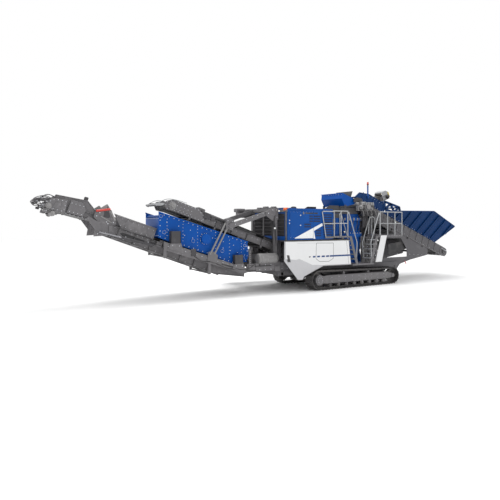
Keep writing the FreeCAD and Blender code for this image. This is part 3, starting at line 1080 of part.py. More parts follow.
foot = box("fold_foot", ("fold_base_x-50", "-fines_half_y-40", "fold_base_z-60"), ("fold_base_x+50", "-fines_half_y+channel_flange+5", "fold_base_z+60"))
foot_pin = rod("fold_foot_pin", "fold_foot_pin_r", 180, ("fold_base_x", "-fold_y-45", "fold_base_z"))
parts += both(bracket) + both(foot) + both(foot_pin)
skirt = slab("fines_skirt", [(-4420, 502), (-4060, "fines_frame_high-5"), (-2850, "fines_frame_high-5"), (-2866, 554)], "-fines_half_y+channel_flange", "-fines_half_y+channel_flange+12")
parts.append(group("fines_skirt_pair", both(skirt), FINES_AT, FINES_TURN))
node("fines_frame", fuse("fines_whole", parts))
node("carrying_rollers", group("carrying_roller_set", carrying))
tail_point = spot(FINES, "fines_tail_slope", "fines_tail_length")
node("fines_belt", shaped("fines_belt_loop", belt_shape(
    [tail_point, (D["fines_bend_x"], D["fines_bend_z"]), spot(FINES, "fines_slope", "-fines_length")], D["fines_drum_r"], D["fines_belt_width"])))

# Folding head of the fines conveyor
FOLD = ("fold_x", "fold_z")
FOLD_AT = ("fold_x", 0, "fold_z")
FOLD_TURN = ((0, 1, 0), "head_slope")
pair = channel_pair("head_channel", FOLD_AT, "head_slope", 15, 250, "head_half_y", "head_length+30", "-head_length-110")
sheet_plate = slab("head_plate", [(-200, 240), (-210, 360), (-525, 610), (-1500, 520), (-1580, 240)], "-head_half_y+channel_flange", "-head_half_y+channel_flange+12")
tip = slab("head_tip", [(-1640, 60), (-1640, 240), (-1560, 400), (-1830, 330), (-2080, 220), (-2110, 150), (-1990, 70), (-1960, 110), (-2050, 170), (-1820, 270), (-1700, 290), (-1690, 60)],
           "-head_half_y+channel_flange", "-head_half_y+channel_flange+16")
tip_bar = rod("head_tip_bar", 30, "2*(head_half_y-channel_flange)-6", (-2070, "-(head_half_y-channel_flange)+3", 180))
drive_b = rod("head_drive_b", 93, 374, (-1450, "-head_half_y", -77))
parts = [pair] + [fuse("head_sides", both(sheet_plate) + both(tip) + [tip_bar, drive_b], FOLD_AT, FOLD_TURN)]
parts += rollers("head_roller", FOLD, "head_slope", -600, "-head_length+400", 2, "head_line+head_drum_r-idler_r-4", "idler_r", "head_half_y-channel_flange+5")
parts += rollers("head_tie", FOLD, "head_slope", -400, -1100, 2, 75, 14, "head_half_y-channel_flange+5")
for name, along in (("low", "-head_start"), ("high", "-head_length")):
    x, z = on_run(FOLD, "head_slope", along, "head_line")
    parts.append(rod(f"head_shaft_{name}", 35, "2*(head_half_y-channel_flange)+4", (x, "-(head_half_y-channel_flange)-2", z)))
arm_plate = slab("head_arm", [("fold_x-45", "fold_z-fold_lever-45"), ("fold_x+45", "fold_z-fold_lever-45"), ("fold_x+40", "fold_z+40"),
                              ("fold_x-80", "fold_z+70"), ("fold_x-330", "fold_z+230"), ("fold_x-400", "fold_z+160")],
                 "-fines_half_y-45", "-fines_half_y-27")
arm_link = box("head_arm_link", ("fold_x-360", "-fines_half_y-40", "fold_z+130"), ("fold_x-240", "-head_half_y+channel_flange+5", "fold_z+180"))
fold_pin = rod("fold_pin", "fold_pin_r", 55, ("fold_x", "-fines_half_y-45", "fold_z"))
parts += both(arm_plate) + both(arm_link) + both(fold_pin)
for name, along in (("low", "-head_start"), ("high", "-head_length")):
    x, z = on_run(FOLD, "head_slope", along, "head_line")
    parts.append(rod(f"head_drum_{name}", "head_drum_r", "fines_belt_width-80", (x, "-fines_belt_width/2+40", z)))
node("fines_head_frame", fuse("head_whole", parts))
node("fines_head_belt", shaped("head_belt_loop", belt_shape([(-D["head_start"], D["head_line"]), (-D["head_length"], D["head_line"])],
                                                            D["head_drum_r"], D["fines_belt_width"] - 60, 16), FOLD_AT, FOLD_TURN))

# Folding cylinders: the barrel swings on its foot pin, the rod slides in it
EYE_X, EYE_Z = D["fold_x"], D["fold_z"] - D["fold_lever"]
reach = math.hypot(EYE_X - D["fold_base_x"], EYE_Z - D["fold_base_z"])
CYL_ANGLE = math.degrees(math.atan2(EYE_Z - D["fold_base_z"], D["fold_base_x"] - EYE_X))
BARREL = round(reach * 0.62)
tube_out = rod("barrel_tube", "fold_barrel_r", BARREL - 60, (-BARREL, 0, 0), "X")
tube_in = rod("barrel_bore", "fold_rod_r+8", BARREL - 230, (-BARREL + 60, 0, 0), "X")
gland = rod("barrel_gland", "fold_rod_r+pin_gap", 200, (-BARREL - 50, 0, 0), "X")
barrel_eye = rod("barrel_eye", 34, "fold_barrel_r*1.6", (0, "-fold_barrel_r*0.8", 0))
barrel_neck = box("barrel_neck", (-90, -18, -24), (0, 18, 24))
eye_bore = rod("barrel_eye_bore", "fold_foot_pin_r+pin_gap", 200, (0, -100, 0))
barrel = cut("barrel_whole", fuse("barrel_solid", [cut("barrel_open", tube_out, group("barrel_hollow", [tube_in, gland])), barrel_eye, barrel_neck]), eye_bore)
node("fold_barrels", group("barrel_pair", both(group("barrel_near", [barrel], ("fold_base_x", "-fold_y", "fold_base_z"), ((0, 1, 0), CYL_ANGLE)))))
rod_bar = rod("rod_bar", "fold_rod_r", round(reach - BARREL + 700), (-round(reach), 0, 0), "X")
rod_eye = rod("rod_eye", 32, 46, (-round(reach), -23, 0))
fold_rod = fuse("rod_whole", [rod_bar, rod_eye])
node("fold_rods", group("rod_pair", both(group("rod_near", [fold_rod], ("fold_base_x", "-fold_y", "fold_base_z"), ((0, 1, 0), CYL_ANGLE)))))

# Return conveyor, built along +X from its swivel axis and then turned
RET = (0, 0)
slope_back = "-ret_slope"
pair = channel_pair("ret_channel", (0, 0, 0), slope_back, "ret_frame_low", "ret_frame_high", "ret_half_y", "ret_length+300", -180)
parts = [pair]
parts += rollers("ret_roller", RET, slope_back, 500, "ret_length-600", 7, "ret_drum_r-44-4", 44, "ret_half_y-channel_flange+5")
parts += rollers("ret_tie", RET, slope_back, 300, "ret_length-300", 6, -50, 18, "ret_half_y-channel_flange+5")
for name, along in (("tail", 0), ("head", "ret_length")):
    x, z = on_run(RET, slope_back, along, 0)
    parts.append(rod(f"ret_shaft_{name}", 35, "2*(ret_half_y-channel_flange)+4", (x, "-(ret_half_y-channel_flange)-2", z)))
for name, along in (("tail", 0), ("head", "ret_length")):
    x, z = on_run(RET, slope_back, along, 0)
    parts.append(rod(f"ret_drum_{name}", "ret_drum_r", "ret_belt_width", (x, "-ret_belt_width/2", z)))
swivel = rod("ret_swivel", 75, 25, (0, 0, -165), "Z")
swivel_pin = rod("ret_swivel_pin", "swivel_pin_r", 190, (0, 0, -345), "Z")
cradle = box("ret_cradle", (-90, "-ret_half_y+10", -155), (90, "ret_half_y-10", -133))
parts += [swivel, swivel_pin, cradle] + both(box("ret_cheek", (-90, "-ret_half_y+10", -150), (90, "-ret_half_y+channel_flange+4", -60)))
guard = slab("ret_guard", [("ret_length-200", "ret_frame_high-14"), ("ret_length+120", "ret_frame_high-14"), ("ret_length+160", 220), ("ret_length-20", 330), ("ret_length-200", 260)],
             "-ret_half_y+channel_flange", "ret_half_y-channel_flange")
guard_in = slab("ret_guard_in", [("ret_length-220", 0), ("ret_length+180", 0), ("ret_length+148", 210), ("ret_length-22", 316), ("ret_length-220", 250)],
                "-ret_half_y+channel_flange+12", "ret_half_y-channel_flange-12")
parts.append(group("ret_guard_turned", [cut("ret_guard_open", guard, guard_in)], (0, 0, 0), ((0, 1, 0), slope_back)))
RET_AT = ("ret_tail_x", "ret_tail_y", "ret_tail_z")
node("return_frame", fuse("return_whole", parts, RET_AT, ((0, 0, 1), "-ret_yaw")))
ret_head = (D["ret_length"] * math.cos(math.radians(D["ret_slope"])), D["ret_length"] * math.sin(math.radians(D["ret_slope"])))
node("return_belt", shaped("return_belt_loop", belt_shape([ret_head, (0, 0)], D["ret_drum_r"], D["ret_belt_width"], 20),
                           RET_AT, ((0, 0, 1), "-ret_yaw")))
node("beacon", shaped("beacon_lamp", Part.makeCylinder(36, 120, Vector(0, 0, 0), Vector(0, 0, 1)),
                      (1190, "-feed_half_y-skirt_thick-16", 4620)))


def write_parts():
    """Recomputes, looks at every object and writes one STEP file for each node."""
    doc.recompute()
    for thing in doc.Objects:
        if "Invalid" in thing.State or "Error" in thing.State:
            raise RuntimeError(f"{thing.Name} did not compute: {thing.State}")
    os.makedirs("parts", exist_ok=True)
    for name, thing in NODES.items():
        shape = thing.Shape
        if shape.isNull() or not shape.isValid() or not shape.Solids:
            raise RuntimeError(f"{name} has no sound solid")
        shape.exportStep(f"parts/{name}.step")
    print(f"wrote {len(NODES)} nodes")


write_parts()
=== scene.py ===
"""The look of the mobile cone crusher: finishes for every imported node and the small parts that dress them.

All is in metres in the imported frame: +X towards the feed hopper, +Z up, -Y is the side with the stairs.
Each new part is a closed skin worked out with numpy: rings of points carried along an axis or a path.
"""

import math

import bpy
import numpy as np
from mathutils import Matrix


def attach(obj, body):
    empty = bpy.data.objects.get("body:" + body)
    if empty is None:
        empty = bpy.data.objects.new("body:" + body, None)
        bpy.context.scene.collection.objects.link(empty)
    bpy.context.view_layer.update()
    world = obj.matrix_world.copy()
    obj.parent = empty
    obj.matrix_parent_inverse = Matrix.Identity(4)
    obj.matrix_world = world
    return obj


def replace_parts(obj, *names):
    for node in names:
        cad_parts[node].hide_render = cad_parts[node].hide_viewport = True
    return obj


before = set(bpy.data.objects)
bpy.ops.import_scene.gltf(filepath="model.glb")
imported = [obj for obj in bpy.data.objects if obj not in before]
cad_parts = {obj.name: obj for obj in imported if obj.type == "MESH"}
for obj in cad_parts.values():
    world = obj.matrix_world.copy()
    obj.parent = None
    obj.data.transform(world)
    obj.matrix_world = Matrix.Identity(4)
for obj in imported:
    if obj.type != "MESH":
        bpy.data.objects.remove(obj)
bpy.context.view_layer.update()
TAU = 2 * math.pi
SIDEWAYS, UP, REARWARDS = (0, -1, 0), (0, 0, 1), (-1, 0, 0)
POLE = 0.001


# Shader sums

class Flow:
    """A socket of one finish; sums on it add Math nodes."""

    def __init__(self, finish, socket):
        self.finish = finish
        self.socket = socket

    def _sum(self, operation, *values):
        """One Math node with the values on its sockets."""
        return self.finish.node("ShaderNodeMath", {"operation": operation}, dict(enumerate(values)))[0]

    def __add__(self, other):
        return self._sum("ADD", self, other)

    __radd__ = __add__

    def __sub__(self, other):
        return self._sum("SUBTRACT", self, other)

    def __rsub__(self, other):
        return self._sum("SUBTRACT", other, self)

    def __mul__(self, other):
        return self._sum("MULTIPLY", self, other)

    __rmul__ = __mul__

    def between(self, low, high):
        """Runs from 0 at low to 1 at high and stays there."""
        span = {0: self, 1: low, 2: high, 3: 0.0, 4: 1.0}
        return self.finish.node("ShaderNodeMapRange", {"clamp": True}, span)[0]

    def wave(self):
        """The sine of the value."""
        return self._sum("SINE", self)


class Finish:
    """A material built from expressions."""

    def __init__(self, name):
        self.material = bpy.data.materials.new(name)
        self.material.use_nodes = True
        self.tree = self.material.node_tree
        self.tree.nodes.clear()
        self.place = self.node("ShaderNodeTexCoord")["Object"]
        split = self.node("ShaderNodeSeparateXYZ", {}, {0: self.place})
        self.x, self.y, self.z = split[0], split[1], split[2]

    def node(self, kind, settings=None, sockets=None):
        """Adds a node, sets it up and feeds its sockets; indexing the result gives a Flow."""
        made = self.tree.nodes.new(kind)
        for key, value in (settings or {}).items():
            setattr(made, key, value)
        for key, value in (sockets or {}).items():
            socket = made.inputs[key]
            if isinstance(value, Flow):
                self.tree.links.new(value.socket, socket)
            elif isinstance(value, tuple) and len(value) == 3 and socket.type == "RGBA":
                socket.default_value = (*value, 1)
            else:
                socket.default_value = value
        return Outputs(self, made)

    def noise(self, scale, detail=3.0, stretch=None):
        """Noise over the object's own coordinates, stretched if asked."""
        where = self.place
        if stretch:
            where = self.node("ShaderNodeMapping", {}, {"Vector": where, "Scale": stretch})[0]
        return self.node("ShaderNodeTexNoise", {}, {"Vector": where, "Scale": scale, "Detail": detail})[0]

    def blend(self, share, one, two):
        """Mixes two colours."""
        return self.node("ShaderNodeMix", {"data_type": "RGBA"}, {0: share, 6: one, 7: two})[2]

    def close(self, bump=None, strength=0.2, depth=0.002, **sockets):
        """The surface itself: keyword names are sockets with underscores for spaces."""
        feeds = {key.replace("_", " "): value for key, value in sockets.items()}
        if bump is not None:
            relief = {"Strength": strength, "Distance": depth, "Height": bump}
            feeds["Normal"] = self.node("ShaderNodeBump", {}, relief)[0]
        surface = self.node("ShaderNodeBsdfPrincipled", {}, feeds)[0]
        self.node("ShaderNodeOutputMaterial", {}, {0: surface})
        return self.material


class Outputs:
    """The outputs of a node, each as a Flow."""

    def __init__(self, finish, made):
        self.finish = finish
        self.made = made

    def __getitem__(self, key):
        return Flow(self.finish, self.made.outputs[key])


DUST = (0.19, 0.18, 0.175)


def painted(name, colour, rough=0.42, coat=0.3, dust=0.22, shade=0.8, metallic=0.0, shine=0.22):
    """Sprayed plate: broad changes of tone, orange peel, and stone dust low down and in patches."""
    f = Finish(name)
    broad, fine, grit = f.noise(0.8, 5.0), f.noise(46.0, 2.0), f.noise(7.0, 6.0)
    streak = f.noise(3.0, 4.0, (4.0, 4.0, 0.35))
    low = f.z.between(2.6, 0.2)
    dirt = ((broad * 0.5 + grit * 0.3 + streak * 0.4 + low * 0.25).between(0.62, 1.05)) * dust
    tone = f.blend(broad.between(0.3, 0.7), tuple(c * shade for c in colour), colour)
    return f.close(
        Base_Color=f.blend(dirt, tone, DUST), Roughness=fine * 0.1 + dirt * 0.9 + (rough - 0.05),
        Metallic=metallic, Coat_Weight=coat, Coat_Roughness=0.12, Specular_IOR_Level=shine,
        bump=fine + grit * 0.6, strength=0.12, depth=0.0015)


def steelwork(name, colour, rough=0.5, dust=0.3):
    """Grey painted steelwork with worn, slightly brighter patches and grinding grain."""
    f = Finish(name)
    broad, grit, fine = f.noise(1.3, 5.0), f.noise(9.0, 6.0), f.noise(60.0, 2.0)
    wear = (grit * 0.7 + broad * 0.5).between(0.62, 0.78)
    bright = tuple(min(1, c * 1.35 + 0.01) for c in colour)
    dirt = (broad + f.z.between(2.2, 0.1) * 0.25).between(0.55, 0.95) * dust
    tone = f.blend(wear * 0.6, tuple(c * 0.86 for c in colour), bright)
    return f.close(
        Base_Color=f.blend(dirt, tone, DUST), Roughness=fine * 0.12 + dirt * 0.6 + (rough - 0.06),
        Metallic=0.25, Specular_IOR_Level=0.5, bump=grit * 0.7 + fine * 0.5, strength=0.16, depth=0.002)


def rubber(name, colour=(0.022, 0.022, 0.024), dust=0.35):
    """Rubber with a fine pebble and stone dust lying on it."""
    f = Finish(name)
    pebble, broad = f.noise(120.0, 2.0), f.noise(2.4, 5.0)
    dirt = broad.between(0.45, 0.75) * dust
    return f.close(
        Base_Color=f.blend(dirt, colour, DUST), Roughness=dirt * 0.4 + 0.62,
        bump=pebble, strength=0.25, depth=0.002)


def shoe_steel(name):
    """Track steel: dark and oiled, with patches of dry soil."""
    f = Finish(name)
    grit, broad = f.noise(18.0, 6.0), f.noise(2.0, 4.0)
    soil = (grit * 0.6 + broad * 0.6).between(0.55, 0.8)
    tone = f.blend(soil * 0.55, (0.07, 0.067, 0.068), (0.15, 0.138, 0.13))
    return f.close(
        Base_Color=tone, Roughness=grit * 0.3 + 0.35, Metallic=0.55, bump=grit, strength=0.3, depth=0.004)


def woven_mesh(name):
    """Screen cloth: crossing wires as a pattern of rounded ribs."""
    f = Finish(name)
    wires = (f.x * 160.0).wave() * 0.5 + (f.y * 160.0).wave() * 0.5
    holes = wires.between(-0.6, 0.1)
    return f.close(
        Base_Color=f.blend(holes, (0.008, 0.008, 0.008), (0.12, 0.115, 0.11)), Roughness=0.5,
        Metallic=0.6, bump=wires, strength=0.5, depth=0.006)


def plain(name, colour, rough=0.4, metallic=0.0, coat=0.0, glow=0.0):
    """A small finish with a light mottle."""
    f = Finish(name)
    mottle = f.noise(24.0, 3.0)
    tone = f.blend(mottle.between(0.35, 0.75), tuple(c * 0.82 for c in colour), colour)
    extra = {"Emission_Color": colour, "Emission_Strength": glow} if glow else {}
    return f.close(
        Base_Color=tone, Roughness=mottle * 0.15 + (rough - 0.06), Metallic=metallic, Coat_Weight=coat,
        bump=mottle, strength=0.05, depth=0.001, **extra)


BLUE, NAVY = (0.003, 0.07, 0.305), (0.003, 0.034, 0.13)
FINISH = {
    "blue": painted("hood_blue", BLUE, 0.4, 0.08, 0.03, 0.8, shine=0.14),
    "screen_blue": painted("screen_blue", (0.001, 0.07, 0.335), 0.42, 0.05, 0.03, 0.84, shine=0.12),
    "navy": painted("hopper_navy", NAVY, 0.45, 0.04, 0.04, 0.72, shine=0.12),
    "white": painted("cover_white", (0.69, 0.695, 0.7), 0.38, 0.2, 0.06, 0.95, shine=0.4),
    # the white cover paint dimmed to grey: painted shade for the side covers' downward-facing lower facet
    "facet": painted("cover_shade", (0.5, 0.5, 0.515), 0.42, 0.1, 0.1, 0.92, shine=0.4),
    "grey": steelwork("frame_grey", (0.15, 0.145, 0.152)),
    "dark": steelwork("dark_steel", (0.055, 0.053, 0.058), 0.55),
    "rail": steelwork("rail_grey", (0.4, 0.41, 0.42), 0.45, 0.1),
    "side_grey": steelwork("feed_side_grey", (0.105, 0.102, 0.11)),
    "cast": steelwork("cast_grey", (0.24, 0.235, 0.235), 0.45),
    "black": rubber("black_rubber"),
    "belt": rubber("belt_rubber", (0.03, 0.03, 0.031), 0.5),
    "shoes": shoe_steel("shoe_steel"),
    "mesh": woven_mesh("screen_cloth"),
    "chrome": plain("rod_steel", (0.3, 0.3, 0.32), 0.38, 1.0),
    "bolt": plain("bolt_zinc", (0.62, 0.64, 0.68), 0.35, 0.5),
    "red": plain("signal_red", (0.55, 0.035, 0.022), 0.4, 0.0, 0.3),
    "amber": plain("amber_lens", (0.75, 0.13, 0.02), 0.25, 0.0, 0.5, 0.15),
    "yellow": plain("yellow_paint", (0.7, 0.52, 0.02), 0.45),
    # flush dark blue sheets in the louvre openings: painted shade
    "slot": plain("slot_shade", (0.003, 0.012, 0.05), 0.6),
    "lamp": plain("lamp_glass", (0.8, 0.82, 0.8), 0.15, 0.0, 0.5, 0.1),
    "stripe": plain("stripe_blue", (0.004, 0.042, 0.175), 0.4, 0.0, 0.1),
    "skin_white": plain("mark_white", (0.82, 0.83, 0.84), 0.4, 0.0, 0.3),
}

NODES_IN = {
    "shoes": "track_right track_left sprockets idler_wheels crusher_mantle",
    "grey": "track_frames stairs_and_platforms discharge_frame support_arms screen_frame "
            "cross_conveyor fines_frame fines_head_frame return_frame",
    "side_grey": "chassis_frame cross_members feed_frame",
    "dark": "power_deck carrying_rollers engine_block radiator crusher_deck conveyor_drums "
            "screen_springs fold_barrels",
    # the imported side covers get the painted-shade grey; they are hidden under the cover skins
    "facet": "side_covers",
    "blue": "engine_housing engine_door crusher_base crusher_bowl",
    "screen_blue": "splash_guard screen_box screen_exciter",
    "belt": "feed_belt discharge_belt cross_belt fines_belt fines_head_belt return_belt",
    "navy": "feed_hood hopper_right_wall hopper_left_wall hopper_rear_wall",
    "white": "stair_panel",
    "rail": "handrails",
    "mesh": "screen_decks",
    "chrome": "fold_rods",
    "red": "beacon",
}
for finish_name, node_names in NODES_IN.items():
    for node_name in node_names.split():
        if node_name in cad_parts:
            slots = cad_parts[node_name].data.materials
            slots.clear()
            slots.append(FINISH[finish_name])


# Skins

def basis(direction):
    """Two unit vectors across each direction."""
    d = direction / np.linalg.norm(direction, axis=-1, keepdims=True)
    guess = np.where(np.abs(d[..., 2:3]) < 0.9, np.array([0.0, 0, 1]), np.array([1.0, 0, 0]))
    one = np.cross(d, guess)
    one /= np.linalg.norm(one, axis=-1, keepdims=True)
    return d, one, np.cross(d, one)


def bar(a, b, radius, sides=12, ease=0.004):
    """Round bars from a to b: four circles, the outer two drawn in by the ease."""
    a, b = np.broadcast_arrays(np.asarray(a, float), np.asarray(b, float))
    d, one, two = basis(b - a)
    turn = np.arange(sides) * TAU / sides
    circle = np.cos(turn)[:, None] * one[..., None, :] + np.sin(turn)[:, None] * two[..., None, :]
    ease = min(ease, radius * 0.5)
    a, b, d = a[..., None, :], b[..., None, :], d[..., None, :]
    rings = [a + circle * (radius - ease), a + d * ease + circle * radius,
             b - d * ease + circle * radius, b + circle * (radius - ease)]
    return np.stack(rings, -3)


def hexes(centres, normal, radius=0.016, height=0.012, sides=6):
    """Bolt heads: six-sided bars that stand on a surface."""
    centres = np.asarray(centres, float)
    normal = np.broadcast_to(np.asarray(normal, float), centres.shape)
    return bar(centres - normal * 0.004, centres + normal * height, radius, sides, 0.003)


def block(low, high, edge=0.006):
    """Boxes with softened edges: four eight-cornered rings up the height."""
    low, high = np.broadcast_arrays(np.asarray(low, float), np.asarray(high, float))
    middle, half = (low + high) / 2, np.abs(high - low) / 2
    e = np.minimum(edge, half.min(-1) * 0.45)[..., None]
    sx = np.array([1, 1, 1, -1, -1, -1, -1, 1.0])
    sy = np.array([-1, 1, 1, 1, 1, -1, -1, -1.0])
    cx = np.array([0, 0, 1, 1, 0, 0, 1, 1.0])
    rings = []
    for sz, inset in ((-1, 1), (-1, 0), (1, 0), (1, 1)):
        x = sx * (half[..., 0:1] - e * (cx + inset * 0.7))
        y = sy * (half[..., 1:2] - e * ((1 - cx) + inset * 0.7))
        z = np.broadcast_to(sz * (half[..., 2:3] - e * (1 - inset)), x.shape)
        rings.append(np.stack([x, y, z], -1) + middle[..., None, :])
    return np.stack(rings, -3)


def inset(points, depth):
    """An outline moved inwards along its corners' mean normals."""
    points = np.asarray(points, float)
    after, before = np.roll(points, -1, 0), np.roll(points, 1, 0)
    area = np.sum(points[:, 0] * after[:, 1] - after[:, 0] * points[:, 1])
    sign = 1 if area > 0 else -1
    one = (points - before) / np.linalg.norm(points - before, axis=1, keepdims=True)
    two = (after - points) / np.linalg.norm(after - points, axis=1, keepdims=True)
    n1, n2 = (np.stack([-side[:, 1], side[:, 0]], 1) * sign for side in (one, two))
    middle = n1 + n2
    middle /= np.maximum(np.linalg.norm(middle, axis=1, keepdims=True), 1e-6)
    reach = depth / np.maximum(np.sum(middle * n1, 1, keepdims=True), 0.35)
    return points + middle * reach


def plate(points, y1, y2, edge=0.003):
    """A plate with an outline in X and Z, from y1 to y2, its edges softened."""
    points = np.asarray(points, float)
    edge = min(edge, abs(y2 - y1) * 0.4)
    step = edge if y2 > y1 else -edge
    rings = []
    for y, depth in ((y1, edge), (y1 + step, 0), (y2 - step, 0), (y2, edge)):
        flat = inset(points, depth) if depth else points
        rings.append(np.stack([flat[:, 0], np.full(len(flat), y), flat[:, 1]], 1))
    return np.stack(rings)


def strip(a, b, half, y1, y2):
    """A straight flat member in X and Z from a to b, as wide as twice the half, from y1 to y2."""
    a, b = np.asarray(a, float), np.asarray(b, float)
    along = (b - a) / np.linalg.norm(b - a)
    side = np.array([-along[1], along[0]]) * half
    return plate([a - side, b - side, b + side, a + side], y1, y2)


def smooth(points, steps=6):
    """A curve through the points, each stretch a cubic with the neighbours' slopes."""
    p = np.asarray(points, float)
    p = np.concatenate([2 * p[:1] - p[1:2], p, 2 * p[-1:] - p[-2:-1]])
    t = (np.arange(steps) / steps)[None, :, None]
    a, b, c, d = (p[i:len(p) - 3 + i, None] for i in range(4))
    curve = 0.5 * (2 * b + (c - a) * t + (2 * a - 5 * b + 4 * c - d) * t ** 2
                   + (3 * b - a - 3 * c + d) * t ** 3)
    return np.concatenate([curve.reshape(-1, 3), p[-2:-1]])


def pipe(path, radius, sides=8):
    """A circle carried along a path."""
    path = np.asarray(path, float)
    slope = np.gradient(path, axis=0)
    _, one, two = basis(slope)
    for i in range(1, len(path)):
        flip = one[i] @ one[i - 1]
        side = two[i] @ one[i - 1]
        angle = math.atan2(side, flip)
        a, b = one[i].copy(), two[i].copy()
        one[i] = a * math.cos(angle) + b * math.sin(angle)
        two[i] = b * math.cos(angle) - a * math.sin(angle)
    turn = np.arange(sides) * TAU / sides
    circle = np.cos(turn)[:, None] * one[:, None] + np.sin(turn)[:, None] * two[:, None]
    return path[:, None] + circle * radius


def hose(points, radius=0.018):
    """A circle carried along the smooth curve through the points."""
    return pipe(smooth(points), radius)


def spun(profile, centre, axis="Y", sides=32):
    """A profile of reach along the axis and radius, turned round it."""
    profile = np.asarray(profile, float)
    turn = np.arange(sides) * TAU / sides
    along = np.broadcast_to(profile[:, :1], (len(profile), sides))
    a, b = profile[:, 1:] * np.cos(turn), profile[:, 1:] * np.sin(turn)
    parts = {"X": (along, a, b), "Y": (a, along, b), "Z": (a, b, along)}[axis]
    return np.stack(parts, -1) + np.asarray(centre, float)


def knob(profile, centre, axis="Y", sides=32):
    """A turned profile whose two ends are drawn in to the axis."""
    ends = [[(profile[i][0], POLE)] for i in (0, -1)]
    return spun(ends[0] + list(profile) + ends[1], centre, axis, sides)


def coil(foot, radius, wire, height, turns=6, steps=14):
    """A spring: a helix with a round wire, its ends closed flat."""
    t = np.linspace(0, 1, int(turns * steps) + 1)
    rise = np.clip((t * (turns) - 0.5) / (turns - 1), 0, 1)
    turn = TAU * turns * t
    path = np.stack([radius * np.cos(turn), radius * np.sin(turn), wire + rise * (height - 2 * wire)], 1)
    return pipe(path + np.asarray(foot, float), wire, 7)


def mirror(rings):
    """Y turned to -Y."""
    return np.asarray(rings) * np.array([1, -1, 1])


def both(rings):
    """The same skin on both sides of the centre line."""
    rings = np.asarray(rings)
    return np.stack([rings, mirror(rings)])


def tilted(rings, start, slope, yaw=0.0, y=0.0):
    """Lays skins made along a level run onto a run that falls towards +X by the slope in degrees."""
    a, w = math.radians(slope), math.radians(yaw)
    x = rings[..., 0] * math.cos(a) + rings[..., 2] * math.sin(a)
    z = -rings[..., 0] * math.sin(a) + rings[..., 2] * math.cos(a)
    across = rings[..., 1]
    along, aside = x * math.cos(w) - across * math.sin(w), x * math.sin(w) + across * math.cos(w)
    return np.stack([start[0] + along, y + aside, start[1] + z], -1)


def around(count, x, y, z, reach):
    """Points at even angles on a circle in X and Z: centre plus reach times cosine and sine."""
    turn = np.arange(count) * TAU / count
    return np.stack([x + reach * np.cos(turn), np.full(count, y), z + reach * np.sin(turn)], 1)


def at_side(points, y):
    """Points in X and Z, set at Y."""
    return np.stack([points[:, 0], np.full(len(points), y), points[:, 1]], 1)


def boxes(x1, x2, y1, y2, z1, z2, edge):
    """Boxes between the grids of low and high values."""
    return block(grid(x1, y1, z1), grid(x2, y2, z2), edge)


def grid(*axes):
    """Every mix of the values, as rows of three."""
    return np.stack(np.meshgrid(*[np.atleast_1d(a) for a in axes], indexing="ij"), -1).reshape(-1, 3)


class Piece:
    """One object of the scene: closed skins gathered into a mesh, each with its finish.

    With lay set to a run, skins are made along a level run from the origin and tilted onto that run.
    """

    lay = None

    def __init__(self, name, body, slot, *finishes):
        self.name, self.body, self.slot, self.finishes = name, body, slot, finishes
        self.points, self.faces, self.marks, self.count = [], [], [], 0

    def add(self, rings, finish=0):
        """Adds skins (..., rings, sides, 3); a skin that is inside out is turned."""
        rings = np.asarray(rings, float)
        if self.lay:
            rings = tilted(rings, *self.lay)
        rings = rings.reshape(-1, *rings.shape[-3:])
        copies, n, m = rings.shape[:3]
        i, j = np.meshgrid(np.arange(n - 1), np.arange(m), indexing="ij")
        k = (j + 1) % m
        quads = np.stack([i * m + j, i * m + k, (i + 1) * m + k, (i + 1) * m + j], -1).reshape(-1, 4)
        centre = rings.mean((1, 2), keepdims=True)
        flat = (rings - centre).reshape(copies, -1, 3)
        a, b, c, d = (flat[:, quads[:, q]] for q in range(4))
        volume = sum(np.einsum("kij,kij->k", np.cross(a, q), r) for q, r in ((b, c), (c, d)))
        last = (n - 1) * m
        for copy in range(copies):
            start = self.count + copy * n * m
            turned_round = volume[copy] < 0
            ordered = quads[:, ::-1] if turned_round else quads
            ends = [list(range(start, start + m)), list(range(start + last, start + last + m))]
            ends[0 if not turned_round else 1].reverse()
            self.faces += (ordered + start).tolist() + ends
            self.marks += [finish] * (len(quads) + 2)
        self.points.append(rings.reshape(-1, 3))
        self.count += copies * n * m
        return self

    def pair(self, rings, finish=0):
        """The same skins on both sides."""
        return self.add(both(rings), finish)

    def bolts(self, centres, radius=0.016, finish=1, height=0.012):
        """Bolt heads on both sides, facing away from the centre line."""
        return self.pair(hexes(centres, SIDEWAYS, radius, height), finish)

    def done(self, angle=35.0):
        """Makes the mesh, its finishes and its sharp edges, and hangs it on its body."""
        mesh = bpy.data.meshes.new(self.name)
        mesh.from_pydata(np.concatenate(self.points).tolist(), [], self.faces)
        for finish in self.finishes:
            mesh.materials.append(FINISH[finish])
        mesh.polygons.foreach_set("material_index", np.array(self.marks, dtype=np.int32))
        mesh.polygons.foreach_set("use_smooth", np.ones(len(self.faces), dtype=bool))
        mesh.update()
        mesh.set_sharp_from_angle(angle=math.radians(angle))
        made = bpy.data.objects.new(self.name, mesh)
        bpy.context.scene.collection.objects.link(made)
        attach(made, self.body)
        return made


# Runs that skins are laid on: start in X and Z, slope in degrees falling towards +X, yaw and offset in Y
FEED = ((0.95, 3.56), 21.3)
DISC = ((-0.43, 0.6), 19.7)
FINES = ((-6.43, 1.05), 20.9)
HEAD = ((-10.9, 2.8), 15.5)
RETURN = ((-4.6, 0.93), -20.4, -8.0, 2.3)
HOPPER_REAR = ((6.0545, 1.8554), 42.7)
CYLINDER = ((-9.05, 2.01), math.degrees(math.atan2(2.5 - 2.01, -9.05 + 10.9)))


